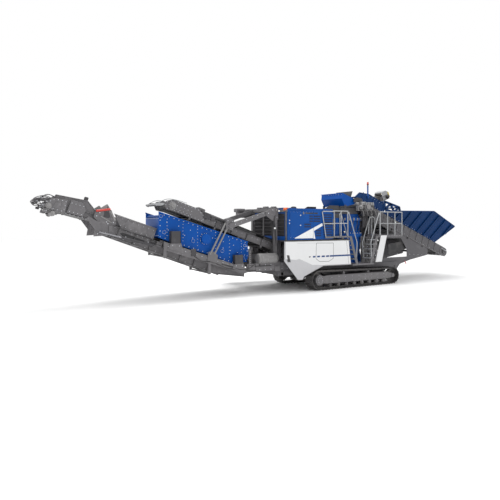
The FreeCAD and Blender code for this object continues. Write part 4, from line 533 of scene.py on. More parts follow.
# Tracks: hub covers, bolts in the shoes and plates on the side beams
p = Piece("track_details", "chassis", "track_steel", "grey", "shoes", "bolt")
hub = [(-0.02, 0.0), (-0.02, 0.13), (-0.014, 0.15), (0.0, 0.155), (0.03, 0.15), (0.03, 0.0)]
p.pair(spun([(y - 1.497, max(r, 0.001)) for y, r in hub], (-2.215, 0, 0.425)))
p.pair(spun([(y * 0.8 - 1.46, max(r * 0.62, 0.001)) for y, r in hub], (2.15, 0, 0.385)))
p.bolts(around(10, -2.215, -1.516, 0.425, 0.115), 0.013, 2)
p.pair(plate([(-1.66, 0.3), (1.62, 0.3), (1.66, 0.34), (1.66, 0.5), (1.6, 0.535), (-1.6, 0.555),
    (-1.68, 0.51), (-1.68, 0.34)], -1.452, -1.464))
p.bolts(grid(np.linspace(-1.55, 1.55, 9), -1.464, [0.345, 0.505]), 0.012, 2)
x = np.linspace(-1.6, 1.48, 8)
p.pair(knob([(-1.447, 0.05), (-1.44, 0.062), (-1.4, 0.062)],
    (0, 0, 0.186))[None] + np.stack([x, 0 * x, 0 * x], 1)[:, None, None], 1)
p.pair(block(grid(np.linspace(-2.05, 2.0, 47) - 0.01, -1.495, 0.0235) - [0, 0, 0.018],
    grid(np.linspace(-2.05, 2.0, 47) + 0.012, -1.02, 0.0235)), 1)
p.done()

# Side covers: a folded skin with rounded corners over the imported plate; its sloping band and lower facet,
# which face downwards, carry a grey of painted shade
COVER_Y, COVER_BACK = 1.447, 1.385
COVER = np.array([(-3.94, 2.078), (-3.955, 1.3), (-3.27, 0.492), (-3.03, 0.492), (-2.96, 0.62),
    (-1.96, 1.002), (-0.385, 0.985), (-0.56, 2.078)])
FOLD = np.array([(-3.915, 2.06), (-3.925, 1.38), (-3.41, 1.32), (-3.25, 1.355), (-2.6, 1.09),
    (-2.05, 1.045), (-0.46, 1.03), (-0.6, 2.06)])
COVER_SKIN = 1.4575
p = Piece("cover_skins", "chassis", "white_cover", "white", "stripe", "dark", "black", "facet")
outer = np.stack([COVER[:, 0], np.full(8, -1.392), COVER[:, 1]], 1)
back = np.stack([inset(COVER, 0.03)[:, 0], np.full(8, -COVER_BACK), inset(COVER, 0.03)[:, 1]], 1)
near = np.stack([FOLD[:, 0], np.full(8, -COVER_Y - 0.006), FOLD[:, 1]], 1)
fold = np.stack([inset(FOLD, 0.006)[:, 0], np.full(8, -COVER_Y - 0.012), inset(FOLD, 0.006)[:, 1]], 1)
# the sloping band from the plate's outline to the fold line takes the painted-shade grey; the white face
# stands just in front of it
p.pair(np.stack([back, outer, near]), 4)
p.pair(np.stack([near + [0, 0.003, 0], near, fold]))
DASH_Z, DASH_HALF = 1.418, 0.034
dashes = [(-2.77, 0.075, 0.022), (-2.57, 0.13, DASH_HALF), (-2.345, 0.15, DASH_HALF),
    (-2.11, 0.175, DASH_HALF), (-1.875, 0.17, DASH_HALF), (-1.67, 1.19, DASH_HALF)]
for k, (start, long, half) in enumerate(dashes):
    p.pair(plate([(start, DASH_Z - half), (start + long, DASH_Z - half),
        (start + long + 0.02, DASH_Z + half),
        (start + 0.02, DASH_Z + half)], -1.457, -1.4615, 0.001), 1 if k else 3)
p.pair(plate([(-3.87, 1.53), (-3.75, 1.52), (-3.68, 1.24), (-3.8, 1.25)], -1.425, -1.4635), 2)
p.pair(plate([(-3.85, 1.505), (-3.77, 1.5), (-3.71, 1.265), (-3.79, 1.275)], -1.43, -1.4655), 3)
p.pair(block((-3.93, -1.43, 2.076), (-0.57, -1.385, 2.122), 0.006), 3)
hatch = [(-2.4, 1.338), (-2.375, 1.982), (-1.459, 1.963), (-1.459, 1.321), (-1.709, 1.189), (-2.223, 1.211)]
for a, b in zip(hatch[1:] + hatch[:1], hatch[2:] + hatch[:2]):
    p.pair(strip(a, b, 0.008, -COVER_SKIN, -1.4598), 2)
# a thin strip of the same painted-shade grey below the top edge
p.pair(strip((-3.35, 1.985), (-2.42, 1.985), 0.007, -COVER_SKIN, -1.4598), 4)
p.pair(plate([(-0.6, 1.06), (-0.585, 1.06), (-0.715, 2.05), (-0.73, 2.05)], -COVER_SKIN, -1.4595, 0.001), 2)
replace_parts(p.done(28.0), "side_covers")

# Hood: louvres, seams, sweep mark, roof and rear grille
HOOD_Y, HOOD_TOP, HOOD_REAR, HOOD_FRONT = 1.4, 3.4, -3.78, -1.45
CLADDING, CLADDING_OUT = 0.895, 0.912
p = Piece("hood_trim", "chassis", "blue_paint", "blue", "black", "grey", "amber", "dark", "bolt",
    "skin_white", "slot")
LOUVRE_PITCH, LOUVRE_DEEP = 0.104, 0.05


def louvres(x1, x2, z_low, count):
    """Dark slots, flush sheets of painted shade for the shade inside the openings, and the blue lips over
    them, one pair a pitch, on the near side of the hood.
    """
    z = z_low + LOUVRE_PITCH * np.arange(count)
    top = z + LOUVRE_DEEP
    slots = boxes(x1, x2, -HOOD_Y - 0.007, -HOOD_Y + 0.01, z, top, 0.003)
    lips = boxes(x1 - 0.015, x2 + 0.015, -HOOD_Y - 0.018, -HOOD_Y + 0.01, top, top + 0.014, 0.003)
    return slots, lips


for x1, x2, z_low, count in ((-1.96, -1.5, 2.3, 9), (-2.47, -2.12, 2.86, 3), (-2.36, -2.09, 2.26, 3)):
    slots, lips = louvres(x1, x2, z_low, count)
    # the slot sheets are painted shade for the openings
    p.pair(slots, 7)
    p.pair(lips)
p.pair(block((-2.485, -HOOD_Y - 0.01, 3.19), (-2.263, -HOOD_Y + 0.01, 3.245), 0.004), 1)
for x in (HOOD_REAR + 0.035, -2.055, HOOD_FRONT - 0.03):
    p.pair(block((x - 0.022, -HOOD_Y - 0.012, 2.14), (x + 0.022, -HOOD_Y + 0.01, 3.385), 0.006))
p.bolts([(-3.7, -HOOD_Y, 2.92), (-3.7, -HOOD_Y, 2.8)], 0.028, 5, height=0.014)
p.pair(block((HOOD_REAR + 0.01, -HOOD_Y - 0.014, 3.35), (HOOD_FRONT - 0.01, -HOOD_Y + 0.01, 3.392), 0.01))
p.pair(block((HOOD_REAR + 0.01, -HOOD_Y - 0.01, 2.126), (HOOD_FRONT - 0.01, -HOOD_Y + 0.01, 2.15), 0.006))
roof_x = np.linspace(HOOD_REAR + 0.12, HOOD_FRONT - 0.12, 5)
p.add(block(grid(roof_x[:-1] + 0.02, -1.28, HOOD_TOP - 0.01),
    grid(roof_x[1:] - 0.02, 1.28, HOOD_TOP + 0.014).reshape(-1, 3), 0.012))
p.add(block((-3.5, -0.62, HOOD_TOP), (-2.72, 0.3, HOOD_TOP + 0.05), 0.02), 1)
slot_x = np.linspace(-3.46, -2.78, 18)
p.add(boxes(slot_x, slot_x + 0.014, -0.58, 0.26, HOOD_TOP + 0.045, HOOD_TOP + 0.062, 0.003))
p.add(knob([(HOOD_TOP, 0.1), (HOOD_TOP + 0.1, 0.095), (HOOD_TOP + 0.13, 0.13), (HOOD_TOP + 0.16, 0.13),
    (HOOD_TOP + 0.19, 0.05)], (-1.95, 0.75, 0), "Z"), 4)
grille_y = np.linspace(-1.17, 1.17, 40)
p.add(boxes(HOOD_REAR - 0.012, HOOD_REAR + 0.03, grille_y - 0.007, grille_y + 0.007, 2.27, 3.2, 0.003), 4)
grille_z = np.linspace(2.36, 3.12, 6)
p.add(boxes(HOOD_REAR - 0.018, HOOD_REAR + 0.01, -1.18, 1.18, grille_z - 0.012, grille_z + 0.012, 0.003), 4)
for y in (-1.3, -0.42, 0.42, 1.3):
    p.add(block((HOOD_REAR - 0.035, y - 0.045, 2.12), (HOOD_REAR + 0.01, y + 0.045, 3.38), 0.008), 2)
p.add(block((HOOD_REAR - 0.04, -1.38, 3.26), (HOOD_REAR + 0.01, 1.38, 3.36), 0.01), 2)
p.pair(block((HOOD_REAR - 0.07, -1.35, 3.315), (HOOD_REAR + 0.09, -1.17, 3.432), 0.018), 3)
p.pair(block((HOOD_REAR - 0.075, -1.36, 3.3), (HOOD_REAR + 0.095, -1.16, 3.322), 0.006), 2)
p.add(boxes(-1.445, -1.43, np.linspace(-0.78, 0.62, 15), np.linspace(-0.78, 0.62, 15) + 0.05, 2.35, 2.36,
    0.002), 1)
p.pair(block((-1.38, -CLADDING_OUT, 2.52), (-0.86, -CLADDING, 3.02), 0.01), 4)
p.pair(boxes(-1.36, -0.88, -0.922, -0.9, np.linspace(2.55, 2.96, 10), np.linspace(2.55, 2.96, 10) + 0.022,
    0.004), 2)
p.pair(block((-1.38, -CLADDING_OUT, 2.16), (-0.7, -CLADDING, 2.44), 0.01))
p.pair(block((-0.94, -0.922, 3.04), (-0.575, -CLADDING, 3.232), 0.01), 4)
p.pair(boxes([-1.42, -0.8, -0.6], [-1.39, -0.77, -0.57], -0.914, -CLADDING, 2.14, 3.22, 0.005))
p.bolts(grid([-1.3, -0.75], -CLADDING_OUT, [2.22, 2.38]), 0.012, 4)
p.done()

p = Piece("door_trim", "door", "blue_paint", "blue", "black", "slot", "bolt", "grey")
p.add(plate([(-3.675, 2.2), (-2.505, 2.2), (-2.505, 3.29), (-3.675, 3.29)], -HOOD_Y + 0.004,
    -HOOD_Y - 0.006, 0.004))
for x1, x2, z_low, count in ((-2.7, -2.52, 2.86, 3), (-2.96, -2.62, 2.63, 2)):
    slots, lips = louvres(x1, x2, z_low, count)
    # the slot sheets are painted shade for the openings
    p.add(slots - [0, 0.004, 0], 2)
    p.add(lips - [0, 0.002, 0])
p.add(block((-2.91, -HOOD_Y - 0.012, 3.19), (-2.512, -HOOD_Y + 0.01, 3.245), 0.004), 1)
p.add(block((-3.03, -HOOD_Y - 0.02, 3.17), (-2.965, -HOOD_Y + 0.01, 3.262), 0.008), 4)
p.add(hexes([(-3.157, -HOOD_Y - 0.006, 3.127), (-3.157, -HOOD_Y - 0.006, 2.718)], SIDEWAYS, 0.03, 0.012), 3)
p.add(hexes(grid(np.linspace(-3.64, -2.55, 8), -HOOD_Y - 0.006, [2.225, 3.268]), SIDEWAYS, 0.008, 0.006), 3)
p.done()

# Sweep mark: one white shape cut at the edge of the door
MARK_SPLIT = -2.495
p = Piece("sweep_mark_door", "door", "white_cover", "skin_white")
p.add(plate([(-3.444, 2.186), (MARK_SPLIT - 0.006, 2.186), (MARK_SPLIT - 0.006, 2.611), (-3.444, 2.205)],
    -HOOD_Y - 0.002, -HOOD_Y - 0.0095, 0.001))
p.done()
p = Piece("sweep_mark_hood", "chassis", "white_cover", "skin_white")
p.add(plate([(MARK_SPLIT + 0.006, 2.616), (-2.038, 2.81), (-1.999, 2.707), (-2.47, 2.486), (-2.393, 2.16),
    (MARK_SPLIT + 0.006, 2.16)], -HOOD_Y - 0.004, -HOOD_Y - 0.0145, 0.001))
p.add(mirror(plate([(-3.444, 2.205), (-2.038, 2.81), (-1.999, 2.707), (-2.47, 2.486), (-2.393, 2.16),
    (-3.444, 2.16)], -HOOD_Y - 0.004, -HOOD_Y - 0.0145, 0.001)))
p.done()

# Crusher: flange bolts, casting lugs, hoses
CRUSHER_X = 0.45
p = Piece("crusher_details", "chassis", "blue_paint", "blue", "bolt", "black", "cast", "dark")
turn = np.arange(36) * TAU / 36
ring_points = np.stack([CRUSHER_X + 0.785 * np.cos(turn), 0.785 * np.sin(turn), np.full(36, 2.34)], 1)
p.add(hexes(ring_points, UP, 0.022, 0.03), 1)
p.add(spun([(2.93, 0.7), (2.93, 0.815), (2.97, 0.825), (3.03, 0.825), (3.07, 0.815), (3.07, 0.7)],
    (CRUSHER_X, 0, 0), "Z", 64))
turn = np.arange(24) * TAU / 24 + 0.1
teeth = block((-0.035, 0.8, 2.94), (0.035, 0.85, 3.06), 0.008)
p.pair(plate([(-1.44, 3.25), (-0.6, 3.25), (-0.58, 3.6), (-1.1, 3.6), (-1.44, 3.42)], -0.8, -0.815), 4)
c, s = np.cos(turn)[:, None, None], np.sin(turn)[:, None, None]
p.add(np.stack([CRUSHER_X + teeth[..., 0] * c - teeth[..., 1] * s, teeth[..., 0] * s + teeth[..., 1] * c,
    np.broadcast_to(teeth[..., 2], (24, *teeth.shape[:2]))], -1), 3)
for k in range(6):
    a = -1.9 + 0.28 * k
    p.add(hose([(CRUSHER_X + 0.8 * math.cos(a), 0.8 * math.sin(a), 2.45),
        (CRUSHER_X + 0.86 * math.cos(a), 0.86 * math.sin(a), 2.6),
        (CRUSHER_X + 0.85 * math.cos(a + 0.1), 0.85 * math.sin(a + 0.1), 2.8),
        (CRUSHER_X + 0.8 * math.cos(a + 0.15), 0.8 * math.sin(a + 0.15), 2.92)], 0.016), 2)
p.done()

# Feed head: drive cluster on the near side
DRIVE_BACK = 0.8
p = Piece("feed_drive", "chassis", "dark_steel", "cast", "dark", "bolt", "black", "rail")
gear = [(-1.16, 0.001), (-1.16, 0.09), (-1.14, 0.12), (-1.08, 0.13), (-1.07, 0.17), (-0.98, 0.17),
    (-0.96, 0.2), (-DRIVE_BACK, 0.2), (-DRIVE_BACK, 0.001)]
p.add(spun(gear, (0.95, 0, 3.56)))
p.add(hexes(around(12, 0.95, -1.07, 3.56, 0.15), SIDEWAYS, 0.013), 2)
for x, zc, r, y1 in ((0.56, 3.56, 0.1, -1.1), (1.24, 3.47, 0.09, -1.06), (0.74, 3.72, 0.07, -1.05),
        (0.44, 3.7, 0.06, -1.0), (1.4, 3.66, 0.06, -0.98)):
    p.add(knob([(y1, r * 0.6), (y1 + 0.02, r * 0.72), (y1 + 0.05, r * 0.72), (y1 + 0.06, r),
        (-DRIVE_BACK, r)], (x, 0, zc)))
    p.add(hexes(around(6, x, y1 + 0.055, zc, r * 0.85), SIDEWAYS, 0.011), 2)
p.add(block([(0.44, -0.98, 3.38), (0.62, -0.99, 3.62), (1.05, -0.97, 3.62)],
    [(1.44, -DRIVE_BACK, 3.62), (0.9, -DRIVE_BACK, 3.8), (1.42, -DRIVE_BACK, 3.78)], 0.02))
rib_at = np.linspace(0.48, 1.4, 13)
p.add(boxes(rib_at, rib_at + 0.018, -1.005, -0.97, 3.4, 3.62, 0.003), 1)
p.add(boxes(np.linspace(0.66, 1.36, 7), np.linspace(0.66, 1.36, 7) + 0.04, -1.005, -0.96, 3.64, 3.78,
    0.006), 4)
p.add(block([(0.72, -0.96, 3.14), (1.3, -0.98, 3.16), (DRIVE_BACK, -0.9, 2.62)],
    [(1.28, -DRIVE_BACK, 3.37), (1.72, -DRIVE_BACK, 3.36), (1.06, -DRIVE_BACK, 3.14)], 0.03), 1)
p.add(plate([(0.3, 3.78), (0.32, 3.95), (0.52, 4.0), (DRIVE_BACK, 3.96), (0.84, 3.76)], -0.802, -0.826), 1)
for k in range(8):
    x0 = 0.5 + 0.13 * k
    p.add(hose([(x0, -0.96, 3.46), (x0 + 0.03, -1.06, 3.36 - 0.02 * (k % 3)),
        (x0 + 0.1, -1.03, 3.22 - 0.05 * (k % 2)), (x0 + 0.2, -0.9, 3.14)], 0.016), (3, 0)[k % 2])
for k in range(4):
    x0 = 0.76 + 0.2 * k
    p.add(hose([(x0, -0.9, 3.2), (x0 + 0.05, -0.99, 3.0), (x0 - 0.04, -0.98, 2.8), (x0 + 0.02, -0.9, 2.55)],
        0.018), 3)
p.add(hose([(1.08, -0.96, 2.3), (1.1, -0.97, 2.75), (1.14, -0.97, 3.01), (1.29, -0.97, 3.12),
    (1.47, -0.97, 3.02), (1.48, -0.97, 2.75), (1.45, -0.96, 2.3)], 0.022), 4)
p.done()

p = Piece("head_truss", "chassis", "navy_paint", "navy")
TRUSS_Y = 0.8
chords = [((2.3, 3.86), (3.32, 3.6)), ((2.3, 3.5), (3.44, 3.22)), ((2.32, 3.88), (2.32, 3.5)),
    ((3.32, 3.62), (3.44, 3.2)), ((2.34, 3.52), (2.72, 3.74)), ((2.72, 3.74), (2.98, 3.36)),
    ((2.98, 3.36), (3.32, 3.6))]
for a, b in chords:
    p.pair(strip(a, b, 0.052, -TRUSS_Y - 0.03, -TRUSS_Y + 0.03))
p.add(bar([(2.3, -TRUSS_Y, 3.84), (3.32, -TRUSS_Y, 3.58)], [(2.3, TRUSS_Y, 3.84), (3.32, TRUSS_Y, 3.58)],
    0.035))
p.done()

BEACON_X, BEACON_Y = 1.19, 0.818
p = Piece("beacon_details", "chassis", "blue_paint", "blue", "red", "black")
p.add(knob([(4.6, 0.045), (4.615, 0.05), (4.63, 0.045)], (BEACON_X, -BEACON_Y, 0), "Z"), 2)
p.add(spun([(4.63, 0.001), (4.63, 0.04), (4.66, 0.042), (4.715, 0.038), (4.735, 0.024), (4.739, 0.001)],
    (BEACON_X, -BEACON_Y, 0), "Z"), 1)
p.add(knob([(3.98, 0.04), (4.02, 0.04), (4.04, 0.033), (4.5, 0.033), (4.52, 0.04), (4.54, 0.033)],
    (BEACON_X, -BEACON_Y, 0), "Z"))
p.done()

# Head skirts of the feed conveyor: rolled edges and bolts
p = Piece("feed_head_trim", "chassis", "navy_paint", "navy", "bolt", "black")
skirt = np.array([(-0.69, 0.235), (-0.51, 0.52), (0.088, 0.69), (1.095, 0.66), (1.3, 0.345)])
p.lay = FEED
for a, b in zip(skirt[:-1], skirt[1:]):
    p.pair(bar((a[0], -0.808, a[1]), (b[0], -0.808, b[1]), 0.016))
p.bolts(grid(np.linspace(-0.2, 1.2, 9), -0.802, [0.27, 0.6]), 0.012)
p.pair(boxes(np.linspace(-0.3, 1.12, 5), np.linspace(-0.3, 1.12, 5) + 0.035, -0.818, -0.8, 0.25, 0.64,
    0.004))
p.add(block((-0.72, -0.56, 0.23), (-0.7, 0.56, 0.52), 0.006), 2)
p.done()

# Feed conveyor: rollers' brackets, edge bolts and the return rollers
FEED_FACE = 0.79
p = Piece("feed_details", "chassis", "grey_steel", "grey", "bolt", "black", "dark")
u = np.linspace(0.2, 6.1, 24)
p.lay = FEED
p.bolts(grid(u, -FEED_FACE, [-0.19, 0.19]), 0.013)
u = np.linspace(1.4, 5.9, 10)
p.pair(boxes(u, u + 0.02, -0.812, -0.788, -0.21, 0.21, 0.004))
p.pair(block((0.3, -0.835, -0.265), (6.15, -FEED_FACE, -0.225), 0.008))
u = np.linspace(0.9, 5.7, 5)
p.add(bar(grid(u, -0.74, -0.3), grid(u, 0.74, -0.3), 0.055), 3)
p.pair(boxes(u - 0.05, u + 0.05, -0.8, -0.74, -0.36, -0.2, 0.006))
p.pair(knob([(-0.84, 0.09), (-0.82, 0.11), (-FEED_FACE, 0.11)], (6.204, 0, 0)), 3)
p.bolts(around(6, 6.204, -0.84, 0, 0.085), 0.011)
p.pair(bar((6.0, -0.8, 0.11), (6.42, -0.8, 0.11), 0.016), 1)
p.done()

# Hopper: rolled top edges, edges of the ribs and bolts
p = Piece("hopper_trim", "chassis", "navy_paint", "navy", "bolt")
FLARE = math.radians(32)


def on_wall(u, up, out=0.0):
    """Points on the near wall: along the run, up its slanted face and out from it."""
    u, up, out = np.broadcast_arrays(*np.atleast_1d(u, up, out))
    y = -0.79 - up * math.sin(FLARE) - out * math.cos(FLARE)
    v = 0.228 + up * math.cos(FLARE) - out * math.sin(FLARE)
    return np.stack([u, y, v], -1)


top_u = np.array([1.32, 3.887, 5.735, 5.33])
top_up = np.array([0.112, 1.116, 1.031, 0.0]) / math.cos(FLARE)
p.lay = FEED
for i in range(3):
    p.pair(bar(on_wall(top_u[i], top_up[i])[0], on_wall(top_u[i + 1], top_up[i + 1])[0], 0.032))
rib_u = np.concatenate([3.887 - 0.56 * np.arange(5) - 0.06, 3.887 + 0.56 * np.arange(1, 4) - 0.09])
for u0 in rib_u:
    height = np.interp(u0, top_u[:3], top_up[:3])
    foot = 0.62 if u0 == rib_u[-1] else 0.02
    for side in (-0.058, 0.058):
        p.pair(bar(on_wall(u0 + side, foot, 0.067)[0], on_wall(u0 + side, height - 0.02, 0.067)[0], 0.008,
            6))
p.pair(hexes(on_wall(np.linspace(1.5, 5.2, 22), 0.05, 0.014), (0, -math.cos(FLARE), -math.sin(FLARE)),
    0.012), 1)
p.done()

p = Piece("hopper_rear_trim", "hopper_rear", "navy_paint", "navy", "bolt")
p.lay = HOPPER_REAR
p.add(bar((0.03, -1.2, 1.055), (0.03, 1.2, 1.055), 0.034))
p.add(hexes(grid(0.0, np.linspace(-0.66, 0.66, 7), [0.12, 0.9]), REARWARDS, 0.012), 1)
p.done()

# Stairs and platforms: treads with raised dots, grating bars and rail feet
PLATFORM_Z, PLATFORM_OUT, PLATFORM_IN = 2.25, 1.475, 0.915
RAIL_OUT = 1.452
p = Piece("step_details", "chassis", "light_rail", "rail", "dark", "bolt", "grey")
for x_top, x_foot, wide in ((-0.562, -0.17, 0.0), (1.182, 0.8, -0.13)):
    for i in range(1, 6):
        share = i / 6
        x0 = x_top + (x_foot - x_top) * share + wide - 0.02
        z0 = 2.24 - (2.24 - 1.005) * share + 0.028
        dots = grid(np.linspace(x0 + 0.025, x0 + 0.145, 4), np.linspace(-1.43, -0.96, 11), z0)
        p.add(bar(dots - [0, 0, 0.003], dots + [0, 0, 0.006], 0.013, 8, 0.003))
        p.add(block((x0 - 0.006, -1.458, z0 - 0.032), (x0 + 0.008, -0.932, z0 + 0.005), 0.004))
for x1, x2, z0 in ((-1.415, -0.585, PLATFORM_Z), (1.205, 2.775, PLATFORM_Z), (-0.345, 0.895, 1.01)):
    count = int((x2 - x1) / 0.042)
    x = np.linspace(x1 + 0.02, x2 - 0.02, count)
    p.add(boxes(x - 0.0025, x + 0.0025, -PLATFORM_OUT + 0.02, -PLATFORM_IN - 0.02, z0 - 0.028, z0 - 0.001,
        0.001), 1)
    y = np.linspace(-PLATFORM_OUT + 0.08, -PLATFORM_IN - 0.08, 5)
    p.add(bar(grid(x1, y, z0 - 0.012), grid(x2, y, z0 - 0.012), 0.004, 6, 0.001), 1)
p.add(bar([(-2.03, -RAIL_OUT, 3.305), (-2.0, -RAIL_OUT, 2.79), (-2.06, -RAIL_OUT, 3.29)],
    [(-1.4, -RAIL_OUT, 3.305), (-1.4, -RAIL_OUT, 2.79), (-1.86, -RAIL_OUT, 2.2)], 0.021))
p.add(block((-1.9, -1.47, 2.17), (-1.44, -1.43, 2.25), 0.006), 3)
tread = np.arange(1, 6) / 6
p.add(block(np.stack([0.66 + 0.382 * (1 - tread), np.full(5, -1.462), 2.19 - 1.235 * tread + 0.06], 1),
    np.stack([0.85 + 0.382 * (1 - tread), np.full(5, -1.44), 2.19 - 1.235 * tread + 0.115], 1), 0.006))
foot_x = [-1.41, -1.025, -0.64, 1.33, 1.81, 2.29, 2.77]
p.add(block(grid(foot_x, -1.468, PLATFORM_Z) - [0.05, 0, 0],
    grid(foot_x, -1.4, PLATFORM_Z + 0.012) + [0.05, 0, 0], 0.003), 1)
p.add(hexes(grid(np.array([[x - 0.032, x + 0.032] for x in foot_x]).ravel(), -1.41, PLATFORM_Z + 0.012), UP,
    0.009, 0.008), 2)
p.add(hexes(grid(np.linspace(-1.38, -0.62, 6), -PLATFORM_OUT, PLATFORM_Z - 0.03), SIDEWAYS, 0.01, 0.008), 2)
p.add(hexes(grid(np.linspace(1.25, 2.72, 10), -PLATFORM_OUT, PLATFORM_Z - 0.03), SIDEWAYS, 0.01, 0.008), 2)
p.done()

# Chassis: weld-on plates, bolts, work lamps and hoses under the deck
BACKING = 0.865
p = Piece("chassis_details", "chassis", "grey_steel", "grey", "bolt", "black", "lamp", "dark", "cast",
    "red")
p.bolts(grid(np.linspace(3.2, 5.3, 8), -0.8, 1.32) + np.linspace(0, 0.12, 8)[:, None] * [0, 0, -1.2])
p.pair(block((3.05, -0.835, 0.7), (3.16, -0.72, 0.9), 0.01), 4)
p.pair(spun([(-0.885, 0.065), (-0.885, 0.075), (-0.875, 0.08), (-0.86, 0.08), (-0.86, 0.037),
    (-0.885, 0.037), (-0.885, 0.065)], (-3.7, 0, 0.72)))
lamps = np.array([(-0.32, -0.86, 2.42), (1.3, -0.84, 3.1), (2.95, -0.86, 2.86), (-3.95, -0.98, 3.3),
    (-4.15, -0.98, 2.6)])
p.add(block(lamps - [0.05, 0.045, 0.04], lamps + [0.05, 0.045, 0.04], 0.014), 4)
p.add(block(lamps - [0.042, 0.052, 0.032], lamps + [0.042, -0.03, 0.032], 0.01), 3)
for k in range(5):
    y0 = -0.62 + 0.31 * k
    p.add(hose([(-3.6, y0, 2.04), (-3.85, y0 * 0.9, 1.9), (-3.95, y0 * 0.8, 1.55), (-3.86, y0 * 0.8, 1.2),
        (-3.8, y0 * 0.8, 0.92)], 0.021), 2)
for k in range(6):
    x0 = -3.2 + 0.42 * k
    p.add(hose([(x0, -0.72, 2.04), (x0 + 0.05, -0.8, 1.8), (x0 + 0.18, -0.84, 1.4),
        (x0 + 0.1, -0.82, 0.98)], 0.018), 2)
p.pair(block([(-3.75, -1.3, 1.45), (-2.85, -1.28, 1.2), (-1.75, -1.3, 1.12)],
    [(-3.05, -0.92, 1.98), (-2.1, -0.92, 1.95), (-0.95, -0.92, 1.92)], 0.05), 4)
p.pair(bar((-0.75, -0.93, 1.06), (-0.75, -1.38, 1.06), 0.02))
p.pair(block([(0.7, -BACKING, 0.94), (1.32, -BACKING, 0.94)], [(1.34, -0.845, 2.2), (1.78, -0.845, 2.2)],
    0.008))
p.pair(block([(0.78, -0.9, 1.96), (0.76, -0.905, 1.58), (0.92, -0.91, 1.22), (1.28, -0.9, 1.6),
    (1.38, -0.905, 1.18)], [(1.22, -0.86, 2.14), (1.12, -0.86, 1.86), (1.26, -0.86, 1.5),
    (1.66, -0.86, 2.1), (1.62, -0.86, 1.48)], 0.02), 4)
p.pair(bar(grid([0.86, 1.02, 1.2, 1.44], -0.915, 1.02), grid([0.86, 1.02, 1.2, 1.44], -0.915, 2.16), 0.02),
    5)
p.bolts(grid([0.82, 1.06, 1.3, 1.58], -0.905, [1.3, 1.72, 2.05]), 0.022, height=0.016)
p.pair(block((1.3, -0.975, 0.545), (2.2, -0.8, 0.7), 0.01), 4)
p.add(mirror(plate([(1.6, 2.26), (3.0, 2.26), (3.0, 2.46), (1.6, 2.98)], -0.69, -0.715)), 4)
p.pair(plate([(2.66, 1.27), (2.66, 1.8), (3.6, 1.9), (4.0, 1.72), (4.0, 1.55), (3.3, 1.38)], -0.69, -0.715),
    2)
p.pair(bar([(3.7, -0.83, 0.93)], [(3.8, -0.83, 0.78)], 0.02), 6)
p.done()

# Gantry: arms' plates, struts, boxes and the perforated post
JOINT_FACE, END_FACE = 0.872, 0.972
p = Piece("gantry_details", "chassis", "grey_steel", "grey", "rail", "dark", "bolt", "cast", "black")
for shift in (-0.075, 0.075):
    p.pair(bar((-6.155 + shift * 1.2, -0.8, 2.83), (-6.91 + shift * 1.2, -0.985, 1.64), 0.034), 4)
    p.pair(knob([(-0.04, 0.05), (0.04, 0.05)], (-6.155 + shift, -0.8, 2.83)), 2)
p.pair(plate([(-7.12, 1.42), (-6.72, 1.3), (-6.68, 1.6), (-6.86, 1.74), (-7.06, 1.74)], -0.962, -1.0))
p.pair(plate([(-6.28, 2.62), (-5.98, 2.5), (-5.92, 2.92), (-6.1, 3.02), (-6.26, 2.96)], -0.77, -JOINT_FACE))
p.bolts([(-6.18, -JOINT_FACE, 2.7), (-6.02, -JOINT_FACE, 2.62), (-6.0, -JOINT_FACE, 2.86),
    (-6.2, -JOINT_FACE, 2.9)], 0.018, 3)
arm_x = np.linspace(-5.9, -4.4, 7)
arm_z = 2.6 + (arm_x + 6.1) * (3.325 - 2.6) / 2.05 + 0.09
p.bolts(np.stack([arm_x, np.full(7, -0.925), arm_z], 1), 0.016, 3)
p.pair(plate([(-4.22, 2.9), (-3.95, 2.95), (-3.95, 3.425), (-4.35, 3.4), (-4.55, 3.22), (-4.5, 3.08)],
    -0.952, -END_FACE))
p.bolts([(-4.15, -END_FACE, 3.02), (-4.02, -END_FACE, 3.05), (-4.02, -END_FACE, 3.34),
    (-4.22, -END_FACE, 3.34), (-4.42, -END_FACE, 3.2)], 0.018, 3)
p.add(block([(-4.16, 0.95, 3.2), (-4.5, 1.35, 3.05), (-4.62, 1.3, 3.3), (-4.05, 1.3, 3.34)],
    [(-3.96, 1.62, 3.3), (-4.02, 1.7, 3.38), (-4.2, 1.66, 3.46), (-3.72, 1.66, 3.44)], 0.03))
p.add(block([(-3.46, 0.55, 3.395), (-3.3, 0.62, 3.46)], [(-2.7, 1.1, 3.475), (-2.9, 1.02, 3.51)], 0.02), 2)
p.add(block([(-3.98, -0.7, 3.4), (-3.98, -0.1, 3.4), (-4.0, 0.42, 3.41)],
    [(-3.84, -0.42, 3.5), (-3.84, 0.2, 3.52), (-3.82, 0.66, 3.49)], 0.02))
post_x = -5.285
p.add(block((post_x - 0.05, -1.0, 1.02), (post_x + 0.05, -0.955, 1.7), 0.008))
p.add(boxes(post_x - 0.026, post_x + 0.026, -1.004, -0.98, np.linspace(1.13, 1.6, 7),
    np.linspace(1.13, 1.6, 7) + 0.04, 0.008), 5)
hood = [(-4.9, 0.001), (-4.9, 0.17), (-4.87, 0.205), (-4.8, 0.21), (-4.79, 0.222), (-4.76, 0.222),
    (-4.75, 0.21), (-4.45, 0.21), (-4.44, 0.222), (-4.41, 0.222), (-4.4, 0.21), (-4.13, 0.21),
    (-4.12, 0.222), (-4.09, 0.222), (-4.08, 0.21), (-4.02, 0.2), (-3.99, 0.17), (-3.99, 0.001)]
p.add(spun(hood, (0, -0.885, 1.385), "X", 40), 4)
p.add(block((-4.95, -0.99, 1.075), (-3.95, -0.93, 1.115), 0.01))
p.add(bar((-5.05, -0.975, 1.1), (-4.3, -0.975, 1.1), 0.022), 5)
p.pair(boxes([-4.86, -4.1], [-4.8, -4.04], -0.985, -0.93, 1.1, 1.3, 0.008), 2)
